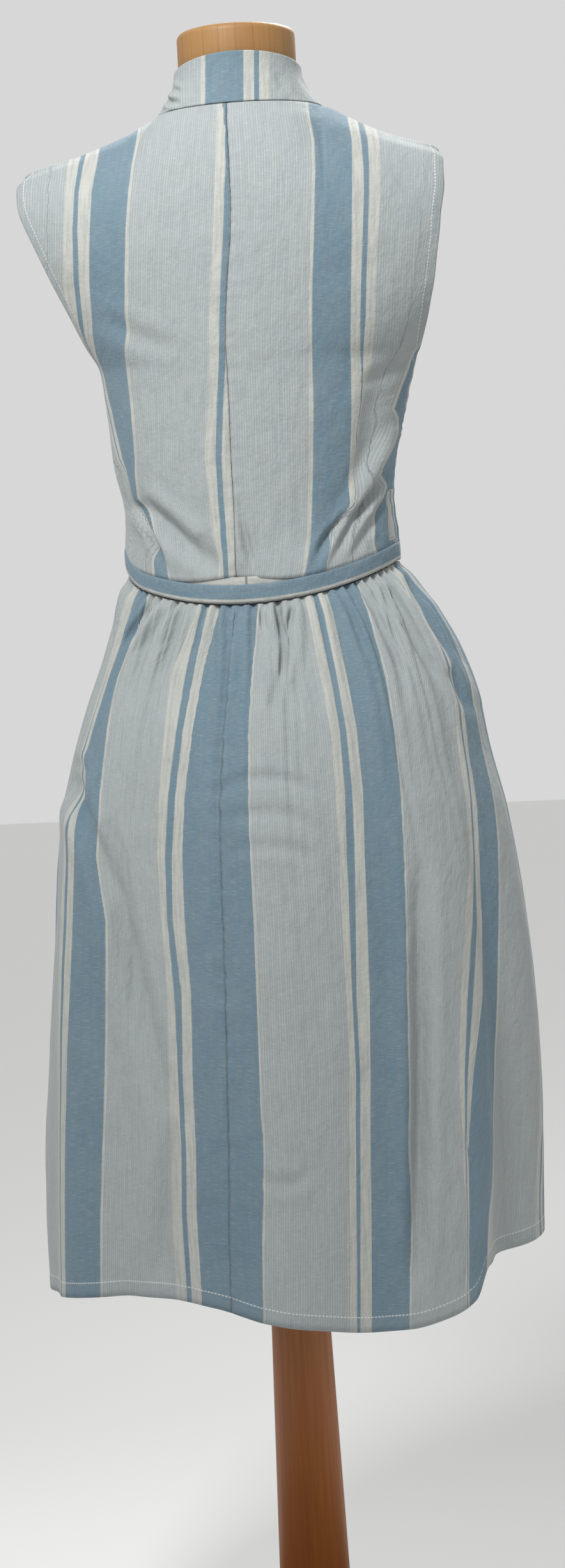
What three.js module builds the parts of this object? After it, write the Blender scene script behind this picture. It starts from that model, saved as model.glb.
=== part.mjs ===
// Sleeveless striped cotton midi dress with a tie belt, standing on a limbless dress form.
// Millimetres, +Z up. The front of the dress faces -Y and the wearer's left is +X.
// The origin is the middle of the stand's underside.
import * as THREE from 'three';

// Driving dimensions
const CLOTH = 1.4;
const SEAM_HALF_GAP = 0.2;
const SKIRT_TOP_GAP = 0.6;
const WAIST_SIDE_HEIGHT = 1036;
const WAIST_BACK_DROP = 32;
const WAIST_BACK_HEIGHT = WAIST_SIDE_HEIGHT - WAIST_BACK_DROP;
const WAIST_FRONT_DROP = 4;
const WAISTBAND_HEIGHT = 24;
const GATHERS_PER_QUARTER = 18;
const GATHER_DEPTH = 3;
const GATHER_FADE = 95;
const SAG_FADE = 150;
const BELT_WIDTH = 16;
const BELT_THICKNESS = 1.8;
const BELT_STANDOFF = 0.7;
const BELT_SLIP = 3;
const KNOT_HALF_ANGLE = 6;
const KNOT_HALF_WIDTH = 11;
const KNOT_HALF_HEIGHT = 11;
const KNOT_HALF_DEPTH = 6.5;
const KNOT_BURY = 4.6;
const TAIL_LENGTHS = [215, 190];
const PLACKET_WIDTH = 26;
const PLACKET_STANDOFF = 0.6;
const SHOULDER_BEND_START = 0.72;
const BUTTON_RADIUS = 5.6;
const BUTTON_THICKNESS = 2.4;
const BUTTON_COUNT = 5;
const NECK_HALF_WIDTH = 75;
const NECK_SIDE_HEIGHT = 1431;
const NECK_BACK_HEIGHT = 1431;
const NECK_FRONT_HEIGHT = 1407;
const NECK_BACK_DEPTH = 63;
const NECK_FRONT_DEPTH = 68;
const NECK_SHIFT = -6;
const SHOULDER_TIP_SHIFT = 6;
const RIGHT_SHOULDER_DROP = 5;
const COLLAR_TOP_RADIUS = 57.5;
const COLLAR_TOP_BACK = 1476.5;
const COLLAR_TOP_FRONT = 1455;
const COLLAR_LEFT_DROP = 2;
const CAP_RADIUS = 53;
const CAP_TOP = 1503;
const CAP_BOTTOM = 1436;
const CAP_ROUNDING = 6;
const POST_FOOT_RADIUS = 34;
const POST_TOP_RADIUS = 16.5;
const BASE_RADIUS = 175;
const BASE_HEIGHT = 25;
const BASE_ROUNDING = 8;
const BASE_FOOT_BEVEL = 3;
const FORM_BOTTOM = 800;
const POST_GAP = 0.4;

// Bodice, by height: width of the outer edge, depth at the centre back and front,
// how far round the row's arc turns, where the armhole's edge lies off the side, and how
// far the row's ends lean towards the wearer's left, and how much narrower the front is
const BODICE_COLUMNS = ['z', 'half', 'back', 'front', 'turn', 'edge', 'lean', 'inset'];
const BODICE_SECTIONS = [
  [1020, 123, 95, 92, 90, 0, -4, 0],
  [1050, 122, 94, 92, 90, 0, -4, 0],
  [1080, 122, 92, 97, 90, 0, -4, 0],
  [1120, 128, 93, 105, 90, 0, -3, 0],
  [1165, 135, 95, 111, 90, 0, -7, 0],
  [1187, 139, 96, 112, 90, 0, -9, 0],
  [1205, 143, 97, 113, 90, 0, -11, 0],
  [1216, 148, 98, 113, 84, 16, -13, 6],
  [1232, 155, 99, 112, 74, 32, -13, 14],
  [1258, 164, 100, 110, 66, 43, -12, 20],
  [1290, 174, 101, 107, 62, 46, -8, 24],
  [1325, 184, 99, 101, 60, 41, -3, 24],
  [1360, 193, 92, 93, 60, 28, 2, 18],
  [1382, 194, 84, 86, 62, 12, 7, 8],
  [1393, 189, 78, 82, 66, 0, 10, 0],
];

// Top edge of the shoulder, by distance from the middle
const SHOULDER_COLUMNS = ['x', 'z'];
const SHOULDER_LINE = [
  [75, 1431],
  [100, 1420],
  [135, 1407],
  [170, 1398],
  [184, 1394],
  [190, 1390],
];

// Skirt, by height: half width, depth at the back and front, and shift of the middle
const SKIRT_COLUMNS = ['z', 'half', 'back', 'front', 'shift'];
const SKIRT_SECTIONS = [
  [1036, 123, 95, 92, -4],
  [1023, 124, 96, 93, -4],
  [1012, 133, 103, 98, -5],
  [1000, 139, 108, 102, -7],
  [980, 149, 115, 107, -12],
  [940, 166, 130, 118, -15],
  [900, 180, 146, 131, -13],
  [850, 192, 160, 143, -9],
  [800, 204, 170, 152, -8],
  [700, 215, 181, 163, -8],
  [600, 222, 188, 171, -6],
  [500, 225, 193, 177, -1],
  [380, 225, 197, 181, 3],
];

// Hem height round the skirt: 0 is the centre back, 90 the wearer's left side
const HEM_COLUMNS = ['angle', 'z'];
const HEM_LINE = [
  [-180, 388],
  [-120, 400],
  [-92, 416],
  [-74, 411],
  [-60, 407],
  [-55, 381],
  [-48, 369],
  [-40, 363],
  [-32, 364],
  [-20, 371],
  [-8, 380],
  [4, 393],
  [15, 399],
  [26, 397],
  [40, 391],
  [60, 383],
  [90, 378],
  [130, 384],
  [180, 388],
];

// Where the centre back seam wanders to, by height
const CENTRE_COLUMNS = ['z', 'back'];
const CENTRE_LINE = [
  [360, 25],
  [440, 24],
  [530, 20.5],
  [620, 18],
  [720, 17],
  [800, 17],
  [880, 14],
  [934, 11],
  [984, 9],
  [1200, 1],
  [1330, -6],
  [1440, -7],
];

// Large folds of the skirt: place and width in degrees, depth, the heights between which
// it runs, and how far its foot drifts round. FOLD_REACH brings a fold to its full depth
// before its foot
const FOLD_REACH = 1.6;
const FOLD_COLUMNS = ['angle', 'width', 'depth', 'top', 'foot', 'drift'];
const FOLDS = [
  [24, 10, -9, 960, 300, 6],
  [52, 13, 10, 980, 300, 4],
  [74, 9, -11, 900, 300, -14],
  [-10, 8, 5, 1000, 300, -3],
  [-31, 10, -8, 980, 300, -4],
  [-52, 10, 9, 940, 300, -3],
  [-68, 7, -13, 820, 300, -2],
  [-86, 10, 7, 960, 300, 0],
  [104, 12, 8, 960, 300, 0],
  [126, 11, -9, 940, 300, 5],
  [152, 12, 8, 960, 300, 0],
  [176, 11, -8, 980, 300, 4],
  [-158, 12, 8, 950, 300, 0],
  [-134, 11, -9, 940, 300, -5],
  [-110, 11, 7, 940, 300, 0],
];

// The form's sections: half width, depth at the back and front, and shift of the middle
const FORM_COLUMNS = ['z', 'half', 'back', 'front', 'shift'];
const FORM_SECTIONS = [
  [800, 148, 92, 84, 0],
  [850, 156, 104, 92, 0],
  [900, 152, 104, 90, 0],
  [950, 136, 94, 84, 0],
  [1000, 112, 82, 78, 0],
  [1040, 106, 80, 78, 0],
  [1090, 108, 82, 84, -2],
  [1150, 116, 86, 96, -4],
  [1210, 128, 89, 102, -8],
  [1270, 137, 91, 96, -5],
  [1330, 140, 86, 86, 0],
  [1365, 130, 72, 72, 0],
  [1390, 104, 56, 56, -2],
  [1408, 76, 49, 49, -4],
  [1424, 56, 46, 46, -6],
  [1435, 49, 47, 47, -6],
];

const DEGREE = Math.PI / 180;

// Tables and small curves
function tableOf(columns, rows) {
  return rows.map((row) => Object.fromEntries(columns.map((name, i) => [name, row[i]])));
}

const bodiceTable = tableOf(BODICE_COLUMNS, BODICE_SECTIONS);
const shoulderTable = tableOf(SHOULDER_COLUMNS, SHOULDER_LINE);
const skirtTable = tableOf(SKIRT_COLUMNS, SKIRT_SECTIONS);
const hemTable = tableOf(HEM_COLUMNS, HEM_LINE);
const centreTable = tableOf(CENTRE_COLUMNS, CENTRE_LINE);
const foldTable = tableOf(FOLD_COLUMNS, FOLDS);
const formTable = tableOf(FORM_COLUMNS, FORM_SECTIONS);
const waist = skirtTable[0];

function smoothStep(t) {
  const c = Math.min(1, Math.max(0, t));
  return c * c * (3 - 2 * c);
}

// Smooth reading of one column of a table, monotone between its rows
function lookUp(table, key, at, column) {
  const rising = table[1][key] > table[0][key];
  const rows = rising ? table : [...table].reverse();
  const n = rows.length;
  if (at <= rows[0][key]) return rows[0][column];
  if (at >= rows[n - 1][key]) return rows[n - 1][column];
  let k = 0;
  while (at > rows[k + 1][key]) k += 1;
  const span = rows[k + 1][key] - rows[k][key];
  const t = (at - rows[k][key]) / span;
  const slope = (j) => {
    if (j <= 0 || j >= n - 1) return 0;
    const before = (rows[j][column] - rows[j - 1][column]) / (rows[j][key] - rows[j - 1][key]);
    const after = (rows[j + 1][column] - rows[j][column]) / (rows[j + 1][key] - rows[j][key]);
    return before * after <= 0 ? 0 : (2 * before * after) / (before + after);
  };
  const t2 = t * t;
  const t3 = t2 * t;
  const start = (2 * t3 - 3 * t2 + 1) * rows[k][column] + (t3 - 2 * t2 + t) * span * slope(k);
  const end = (3 * t2 - 2 * t3) * rows[k + 1][column] + (t3 - t2) * span * slope(k + 1);
  return start + end;
}

// Height of the waist seam round the body; the belt sags at the back
function waistHeight(angle) {
  const back = Math.max(0, Math.cos(angle)) ** 1.5;
  const front = Math.max(0, -Math.cos(angle)) ** 1.5;
  return WAIST_SIDE_HEIGHT - WAIST_BACK_DROP * back - WAIST_FRONT_DROP * front;
}

// A height measured as if the waist seam were level; the sag fades out away from it
function levelledHeight(angle, z) {
  const sag = WAIST_SIDE_HEIGHT - waistHeight(angle);
  return z + sag * Math.exp(-Math.abs(waistHeight(angle) - z) / SAG_FADE);
}

// Turns an angle round the body so that its centre back falls on the wandering seam
function turnedAngle(angle, z, half, shift) {
  const offset = lookUp(centreTable, 'z', z, 'back') - shift;
  return angle + Math.asin(offset / half) * Math.max(0, Math.cos(angle / 2)) ** 2;
}

// One point of the skirt's outer face: gathers fade down from the waist and folds grow
function skirtPoint(angle, drop) {
  const around = Math.atan2(Math.sin(angle), Math.cos(angle));
  const hem = lookUp(hemTable, 'angle', around / DEGREE, 'z');
  const seam = turnedAngle(around, WAIST_BACK_HEIGHT, waist.half, waist.shift);
  const top = waistHeight(seam) - WAISTBAND_HEIGHT / 2 - SKIRT_TOP_GAP;
  const z = top + (hem - top) * drop;
  const level = levelledHeight(seam, z);
  const plainHalf = lookUp(skirtTable, 'z', level, 'half');
  const shift = lookUp(skirtTable, 'z', level, 'shift');
  const turned = turnedAngle(around, z, plainHalf, shift);
  const depth = lookUp(skirtTable, 'z', level, Math.cos(turned) > 0 ? 'back' : 'front');
  const gather = GATHER_DEPTH * Math.exp(-(top - z) / GATHER_FADE);
  const phase = (angle / (Math.PI / 2)) * GATHERS_PER_QUARTER * 2 * Math.PI;
  const out = foldOffset(around, z) - gather * (1 - Math.cos(phase)) / 2;
  const x = shift + (plainHalf + out) * Math.sin(turned);
  return new THREE.Vector3(x, (depth + out) * Math.cos(turned), z);
}

// Sum of the large folds at an angle and height
function foldOffset(angle, z) {
  let sum = 0;
  for (const fold of foldTable) {
    const run = smoothStep((fold.top - z) / (fold.top - fold.foot) * FOLD_REACH);
    const middle = fold.angle + fold.drift * run;
    let away = angle / DEGREE - middle;
    if (away > 180) away -= 360;
    if (away < -180) away += 360;
    sum += fold.depth * run * Math.exp(-((away / fold.width) ** 2));
  }
  return sum;
}

// Height of the bodice's top edge: the neckline, then the shoulder seam
function topHeight(x, isBack) {
  if (x >= NECK_HALF_WIDTH) return lookUp(shoulderTable, 'x', x, 'z');
  const low = isBack ? NECK_BACK_HEIGHT : NECK_FRONT_HEIGHT;
  return low + (NECK_SIDE_HEIGHT - low) * (1 - Math.sqrt(1 - (x / NECK_HALF_WIDTH) ** 2));
}

// 0 at the neck, 1 at the shoulder's tip
function shoulderShare(x) {
  const tip = SHOULDER_LINE[SHOULDER_LINE.length - 1][0];
  return smoothStep((x - NECK_HALF_WIDTH) / (tip - NECK_HALF_WIDTH));
}

// Depth of the bodice's top edge off the shoulder line
function topDepth(x, isBack) {
  if (x >= NECK_HALF_WIDTH) return SEAM_HALF_GAP;
  const depth = isBack ? NECK_BACK_DEPTH : NECK_FRONT_DEPTH;
  return SEAM_HALF_GAP + (depth - SEAM_HALF_GAP) * Math.sqrt(1 - (x / NECK_HALF_WIDTH) ** 2);
}

// One row of a bodice quarter: an arc from the centre to the side seam or armhole
function bodiceRow(across, z, isBack) {
  const narrowing = isBack ? 0 : lookUp(bodiceTable, 'z', z, 'inset');
  const half = lookUp(bodiceTable, 'z', z, 'half') - narrowing;
  const middle = lookUp(bodiceTable, 'z', z, isBack ? 'back' : 'front');
  const turn = lookUp(bodiceTable, 'z', z, 'turn') * DEGREE;
  const edge = Math.max(SEAM_HALF_GAP, lookUp(bodiceTable, 'z', z, 'edge'));
  const a = across * turn;
  const out = Math.sin(a) / Math.sin(turn);
  const deep = (Math.cos(a) - Math.cos(turn)) / (1 - Math.cos(turn));
  return { x: half * out, y: edge + (middle - edge) * deep };
}

// One point of a bodice quarter. side is 1 for the wearer's left, up runs waist to top
function bodicePoint(across, up, side, isBack) {
  const quarter = across * Math.PI / 2;
  const waistLine = lookUp(centreTable, 'z', WAIST_BACK_HEIGHT, 'back') - waist.shift;
  const backTurn = Math.asin(waistLine / waist.half) * (1 - across) ** 2;
  const seam = isBack ? side * quarter + backTurn : Math.PI - quarter;
  const low = waistHeight(seam) + WAISTBAND_HEIGHT / 2 + SEAM_HALF_GAP;
  const tip = BODICE_SECTIONS[BODICE_SECTIONS.length - 1][0];
  const topX = BODICE_SECTIONS[BODICE_SECTIONS.length - 1][1] * across;
  const plain = low + (tip - low) * up;
  const level = levelledHeight(seam, plain);
  const row = bodiceRow(across, level, isBack);
  const last = bodiceRow(across, tip, isBack);
  const bend = Math.max(0, (up - SHOULDER_BEND_START) / (1 - SHOULDER_BEND_START));
  const ramp = bend ** 2;
  const over = 1 - Math.sqrt(1 - bend * bend);
  const x = row.x + (topX - last.x) * ramp;
  const y = row.y + (topDepth(topX, isBack) - last.y) * over;
  const lowered = side < 0 ? RIGHT_SHOULDER_DROP * shoulderShare(topX) : 0;
  const z = plain + (topHeight(topX, isBack) - lowered - tip) * up ** 3;
  const line = isBack ? lookUp(centreTable, 'z', z, 'back') : 0;
  const lean = lookUp(bodiceTable, 'z', level, 'lean');
  const lowShift = lean * across + line * (1 - across) ** 2;
  const topShift = NECK_SHIFT + (SHOULDER_TIP_SHIFT - NECK_SHIFT) * shoulderShare(topX);
  const shift = lowShift + (topShift - lowShift) * ramp;
  const sign = isBack ? 1 : -1;
  return new THREE.Vector3(side * Math.max(x, SEAM_HALF_GAP) + shift, sign * y, z);
}

// Outward normals of a grid of points; turnOver swaps their side
function gridNormals(points, turnOver) {
  const rows = points.length;
  const columns = points[0].length;
  return points.map((row, j) => row.map((point, i) => {
    const next = row[Math.min(i + 1, columns - 1)];
    const along = new THREE.Vector3().subVectors(next, row[Math.max(i - 1, 0)]);
    const over = points[Math.min(j + 1, rows - 1)][i];
    const under = points[Math.max(j - 1, 0)][i];
    const upward = new THREE.Vector3().subVectors(over, under);
    const normal = new THREE.Vector3().crossVectors(along, upward).normalize();
    return turnOver ? normal.negate() : normal;
  }));
}

// Closed geometry from rings of vertices, flipped where its volume comes out negative
function closedGeometry(positions, triangles) {
  let volume = 0;
  for (const [a, b, c] of triangles) {
    const cross = new THREE.Vector3().crossVectors(positions[b], positions[c]);
    volume += positions[a].dot(cross);
  }
  const geometry = new THREE.BufferGeometry();
  const flat = positions.flatMap((p) => [p.x, p.y, p.z]);
  geometry.setAttribute('position', new THREE.Float32BufferAttribute(flat, 3));
  geometry.setIndex(triangles.flatMap(([a, b, c]) => (volume < 0 ? [a, c, b] : [a, b, c])));
  geometry.computeVertexNormals();
  return geometry;
}

// A wall through a grid of outer points: its inner face lies along the given normals
function wallGeometry(points, normals, thickness, isRing = false) {
  const rows = points.length;
  const columns = points[0].length;
  const outer = points.flat();
  const moveIn = (point, normal) => point.clone().addScaledVector(normal, -thickness);
  const inner = points.flatMap((row, j) => row.map((point, i) => moveIn(point, normals[j][i])));
  const positions = [...outer, ...inner];
  const out = (j, i) => j * columns + (i % columns);
  const inn = (j, i) => out(j, i) + outer.length;
  const triangles = [];
  const quad = (a, b, c, d) => triangles.push([a, b, c], [a, c, d]);
  const steps = isRing ? columns : columns - 1;
  for (let j = 0; j < rows - 1; j += 1) {
    for (let i = 0; i < steps; i += 1) {
      quad(out(j, i), out(j, i + 1), out(j + 1, i + 1), out(j + 1, i));
      quad(inn(j, i), inn(j + 1, i), inn(j + 1, i + 1), inn(j, i + 1));
    }
  }
  const top = rows - 1;
  for (let i = 0; i < steps; i += 1) {
    quad(inn(0, i), inn(0, i + 1), out(0, i + 1), out(0, i));
    quad(out(top, i), out(top, i + 1), inn(top, i + 1), inn(top, i));
  }
  const last = columns - 1;
  for (let j = 0; !isRing && j < top; j += 1) {
    quad(inn(j, 0), out(j, 0), out(j + 1, 0), inn(j + 1, 0));
    quad(out(j, last), inn(j, last), inn(j + 1, last), out(j + 1, last));
  }
  return closedGeometry(positions, triangles);
}

// A solid through closed rings of points, capped with a fan at each end
function loftGeometry(rings) {
  const count = rings[0].length;
  const positions = rings.flat();
  const triangles = [];
  for (let j = 0; j < rings.length - 1; j += 1) {
    for (let i = 0; i < count; i += 1) {
      const a = j * count + i;
      const b = j * count + ((i + 1) % count);
      triangles.push([a, b, b + count], [a, b + count, a + count]);
    }
  }
  for (const [j, turned] of [[0, true], [rings.length - 1, false]]) {
    const middle = positions.length;
    const centre = new THREE.Vector3();
    rings[j].forEach((p) => centre.addScaledVector(p, 1 / count));
    positions.push(centre);
    for (let i = 0; i < count; i += 1) {
      const a = j * count + i;
      const b = j * count + ((i + 1) % count);
      triangles.push(turned ? [middle, b, a] : [middle, a, b]);
    }
  }
  return closedGeometry(positions, triangles);
}

const dress = new THREE.Group();

function addPiece(name, geometry, look) {
  const material = new THREE.MeshStandardMaterial(look);
  const mesh = new THREE.Mesh(geometry, material);
  mesh.name = name;
  dress.add(mesh);
  return mesh;
}

const CLOTH_LOOK = { color: 0xbfcacb, roughness: 0.9, metalness: 0 };
const STRIPE_LOOK = { color: 0x7f9fb0, roughness: 0.9, metalness: 0 };
const FORM_LOOK = { color: 0xe6e2d8, roughness: 0.85, metalness: 0 };
const PALE_WOOD_LOOK = { color: 0xc89d66, roughness: 0.5, metalness: 0 };
const BROWN_WOOD_LOOK = { color: 0x6b4020, roughness: 0.45, metalness: 0 };
const BUTTON_LOOK = { color: 0xe8e6df, roughness: 0.3, metalness: 0 };

// Skirt panels: two backs joined at the centre back seam, and one front
const NORMAL_TILT = 0.35;
const SKIRT_DROPS = [0, 0.022, 0.06, 0.12, 0.2, 0.31, 0.44, 0.58, 0.72, 0.86, 1];

function skirtPanel(name, from, to) {
  const quarters = Math.round((to - from) / 90);
  const columns = quarters * GATHERS_PER_QUARTER * 2;
  const points = SKIRT_DROPS.map((drop) => {
    const row = [];
    for (let i = 0; i <= columns; i += 1) {
      row.push(skirtPoint((from + (to - from) * i / columns) * DEGREE, drop));
    }
    return row;
  });
  const normals = gridNormals(points, true).map((row) => row.map(flatNormal));
  alignEdge(points, normals, 0);
  alignEdge(points, normals, columns);
  addPiece(name, wallGeometry(points, normals, CLOTH), CLOTH_LOOK);
}

// A normal turned towards the horizontal, so that a gathered wall keeps its thickness
function flatNormal(n) {
  return new THREE.Vector3(n.x, n.y, n.z * NORMAL_TILT).normalize();
}

// Draws one edge column of a panel back from its seam
function alignEdge(points, normals, column) {
  points.forEach((row, j) => {
    const next = row[column === 0 ? 1 : column - 1];
    const along = new THREE.Vector3().subVectors(next, row[column]);
    along.z = 0;
    along.normalize();
    row[column].addScaledVector(along, SEAM_HALF_GAP);
    const n = normals[j][column];
    n.addScaledVector(along, -n.dot(along)).normalize();
  });
}

skirtPanel('skirt_back_left', 0, 90);
skirtPanel('skirt_back_right', -90, 0);
skirtPanel('skirt_front', 90, 270);

// Bodice panels: a back and a front on each side, joined at the centre, side and shoulder
const BODICE_COLUMN_COUNT = 12;
const BODICE_UPS = [0, 0.12, 0.24, 0.36, 0.45, 0.5, 0.56, 0.64, 0.73, 0.81, 0.88, 0.935, 0.975, 1];
const ON_SIDE_SEAM = 1;

function bodiceGrid(side, isBack) {
  return BODICE_UPS.map((up) => {
    const row = [];
    for (let i = 0; i <= BODICE_COLUMN_COUNT; i += 1) {
      row.push(bodicePoint(i / BODICE_COLUMN_COUNT, up, side, isBack));
    }
    return row;
  });
}

// The wall's edges at its seams are square to the seam, so that neighbours stay apart
function bodicePanel(name, side, isBack) {
  const points = bodiceGrid(side, isBack);
  const normals = gridNormals(points, side > 0 === isBack);
  const last = points.length - 1;
  points.forEach((row, j) => row.forEach((point, i) => {
    const n = normals[j][i];
    if (j === 0) n.z = 0;
    if (i === 0) n.x = 0;
    const fromNeck = (point.x - NECK_SHIFT) * side;
    if (j === last && fromNeck > NECK_HALF_WIDTH - 1) n.y = 0;
    const isEndColumn = i === BODICE_COLUMN_COUNT && j < last;
    if (isEndColumn && Math.abs(point.y) < ON_SIDE_SEAM) n.set(side, 0, 0);
    n.normalize();
  }));
  addPiece(name, wallGeometry(points, normals, CLOTH), CLOTH_LOOK);
}

bodicePanel('bodice_back_left', 1, true);
bodicePanel('bodice_back_right', -1, true);
bodicePanel('bodice_front_left', 1, false);
bodicePanel('bodice_front_right', -1, false);

// Round strips at the waist, each a ring or part ring that follows the waist seam
const RING_COLUMNS = 72;

function waistPoint(angle, z, out) {
  const depth = (Math.cos(angle) > 0 ? waist.back : waist.front) + out;
  const x = waist.shift + (waist.half + out) * Math.sin(angle);
  return new THREE.Vector3(x, depth * Math.cos(angle), z);
}

function waistNormal(angle) {
  const depth = Math.cos(angle) > 0 ? waist.back : waist.front;
  return new THREE.Vector3(Math.sin(angle) / waist.half, Math.cos(angle) / depth, 0).normalize();
}

function waistStrip(name, fromAngle, toAngle, heights, out, thickness, look) {
  const isRing = toAngle - fromAngle >= 360;
  const angles = [];
  for (let i = 0; i < (isRing ? RING_COLUMNS : RING_COLUMNS + 1); i += 1) {
    angles.push((fromAngle + (toAngle - fromAngle) * i / RING_COLUMNS) * DEGREE);
  }
  const points = heights.map((height) => (
    angles.map((angle) => waistPoint(angle, waistHeight(angle) + height, out))
  ));
  const normals = heights.map(() => angles.map(waistNormal));
  addPiece(name, wallGeometry(points, normals, thickness, isRing), look);
}

const bandHalf = WAISTBAND_HEIGHT / 2 - SEAM_HALF_GAP;
waistStrip('waistband', 0, 360, [-bandHalf, bandHalf], 0, CLOTH, CLOTH_LOOK);
const beltOut = BELT_STANDOFF + BELT_THICKNESS;
const beltEnd = 180 - KNOT_HALF_ANGLE;
const beltHeights = [-BELT_WIDTH / 2 - BELT_SLIP, BELT_WIDTH / 2 - BELT_SLIP];
waistStrip('belt', -beltEnd, beltEnd, beltHeights, beltOut, BELT_THICKNESS, STRIPE_LOOK);

// Knot at the front: rounded squares that shrink towards its two faces
const KNOT_SIDES = 16;
const KNOT_SQUARENESS = 0.6;
const KNOT_FACE_SCALE = 0.55;
const KNOT_STATIONS = [-1, -0.8, 0, 0.8, 1];
const knotHeight = WAIST_SIDE_HEIGHT - WAIST_FRONT_DROP - BELT_SLIP;
const knotDepth = -(waist.front + beltOut + KNOT_BURY);

function squarish(value) {
  return Math.sign(value) * Math.abs(value) ** KNOT_SQUARENESS;
}

function knotRing(station) {
  const scale = KNOT_FACE_SCALE + (1 - KNOT_FACE_SCALE) * Math.sqrt(1 - station * station);
  const ring = [];
  for (let i = 0; i < KNOT_SIDES; i += 1) {
    const a = 2 * Math.PI * i / KNOT_SIDES;
    const x = waist.shift + KNOT_HALF_WIDTH * scale * squarish(Math.cos(a));
    const z = knotHeight + KNOT_HALF_HEIGHT * scale * squarish(Math.sin(a));
    ring.push(new THREE.Vector3(x, knotDepth + KNOT_HALF_DEPTH * station, z));
  }
  return ring;
}

addPiece('belt_knot', loftGeometry(KNOT_STATIONS.map(knotRing)), STRIPE_LOOK);

// A tail leaves the knot's foot and lies down the front of the skirt, clear of its folds
const TAIL_STEPS = 12;
const TAIL_GAP = 1;
const TAIL_CLEARANCE = 5;
const TAIL_BULGE = 5;
const TAIL_START_SPREAD = 6;
const TAIL_EARLY_SPREAD = 22;
const TAIL_LATE_SPREAD = 8;
const TAIL_START_WIDTH = 0.45;
const TAIL_WIDENING = 5;
const TAIL_TWIST = 1.2;
const TAIL_WRAP_RADIUS = 200;

function tailPoint(side, length, t, across) {
  const z = knotHeight - KNOT_HALF_HEIGHT - TAIL_GAP - length * t;
  const spread = TAIL_START_SPREAD + TAIL_EARLY_SPREAD * Math.sqrt(t) + TAIL_LATE_SPREAD * t * t;
  const clearance = TAIL_CLEARANCE + TAIL_BULGE * Math.sin(Math.PI * t);
  const front = lookUp(skirtTable, 'z', z, 'front') + clearance;
  const x = waist.shift + side * spread + across * BELT_WIDTH / 2;
  const wrap = Math.sqrt(1 - (x / TAIL_WRAP_RADIUS) ** 2);
  return new THREE.Vector3(x, -front * wrap - side * across * TAIL_TWIST, z);
}

function tailRow(side, length, t) {
  const widening = TAIL_START_WIDTH + (1 - TAIL_START_WIDTH) * smoothStep(t * TAIL_WIDENING);
  return [-1, 0, 1].map((across) => tailPoint(side, length, t, across * widening));
}

function beltTail(name, side, length) {
  const points = [];
  for (let j = 0; j <= TAIL_STEPS; j += 1) points.push(tailRow(side, length, j / TAIL_STEPS));
  const normals = points.map((row) => row.map(() => new THREE.Vector3(0, -1, 0)));
  addPiece(name, wallGeometry(points, normals, BELT_THICKNESS), STRIPE_LOOK);
}

beltTail('belt_tail_left', 1, TAIL_LENGTHS[0]);
beltTail('belt_tail_right', -1, TAIL_LENGTHS[1]);

// Stand collar: a closed band whose foot follows the neckline and whose top draws in
const COLLAR_COLUMNS = 48;
const COLLAR_UPS = [0, 0.34, 0.67, 1];
const COLLAR_SEAM_LIFT = 0.6;
const INSIDE_NECK = NECK_HALF_WIDTH - 0.01;

function collarPoint(angle, up) {
  const isBack = Math.cos(angle) > 0;
  const footX = Math.min(Math.abs(NECK_HALF_WIDTH * Math.sin(angle)), INSIDE_NECK);
  const footDepth = isBack ? NECK_BACK_DEPTH : NECK_FRONT_DEPTH;
  const foot = topHeight(footX, isBack) + COLLAR_SEAM_LIFT;
  const toBack = (1 + Math.cos(angle)) / 2;
  const level = COLLAR_TOP_FRONT + (COLLAR_TOP_BACK - COLLAR_TOP_FRONT) * toBack;
  const head = level - COLLAR_LEFT_DROP * Math.sin(angle);
  const draw = Math.sin(up * Math.PI / 2);
  const radiusX = NECK_HALF_WIDTH + (COLLAR_TOP_RADIUS - NECK_HALF_WIDTH) * draw;
  const radiusY = footDepth + (COLLAR_TOP_RADIUS - footDepth) * draw;
  const x = NECK_SHIFT + radiusX * Math.sin(angle);
  return new THREE.Vector3(x, radiusY * Math.cos(angle), foot + (head - foot) * up);
}

const collarAngles = [];
for (let i = 0; i < COLLAR_COLUMNS; i += 1) collarAngles.push(2 * Math.PI * i / COLLAR_COLUMNS);
const collarPoints = COLLAR_UPS.map((up) => collarAngles.map((angle) => collarPoint(angle, up)));
const collarNormals = collarPoints.map((row) => (
  row.map((point) => new THREE.Vector3(point.x - NECK_SHIFT, point.y, 0).normalize())
));
addPiece('collar', wallGeometry(collarPoints, collarNormals, CLOTH, true), CLOTH_LOOK);

// Button placket: a strip made from the front's own points, moved out
const PLACKET_HALF_COLUMNS = [-1, -0.5, 0, 0.5, 1];
const PLACKET_UPS = BODICE_UPS.slice(0, -1);

function placketPoint(up, fromCentre) {
  const side = fromCentre < 0 ? -1 : 1;
  const near = bodicePoint(0, up, side, false);
  const far = bodicePoint(1 / BODICE_COLUMN_COUNT, up, side, false);
  const centreX = near.x - side * SEAM_HALF_GAP;
  const share = Math.abs(fromCentre / (far.x - centreX));
  const point = new THREE.Vector3().lerpVectors(near, far, share);
  point.x = centreX + fromCentre;
  point.y -= PLACKET_STANDOFF + CLOTH;
  return point;
}

function placketRow(up) {
  return PLACKET_HALF_COLUMNS.map((share) => placketPoint(up, share * PLACKET_WIDTH / 2));
}

const placketPoints = PLACKET_UPS.map(placketRow);
const placketNormals = placketPoints.map((row) => row.map(() => new THREE.Vector3(0, -1, 0)));
addPiece('placket', wallGeometry(placketPoints, placketNormals, CLOTH), CLOTH_LOOK);

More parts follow.
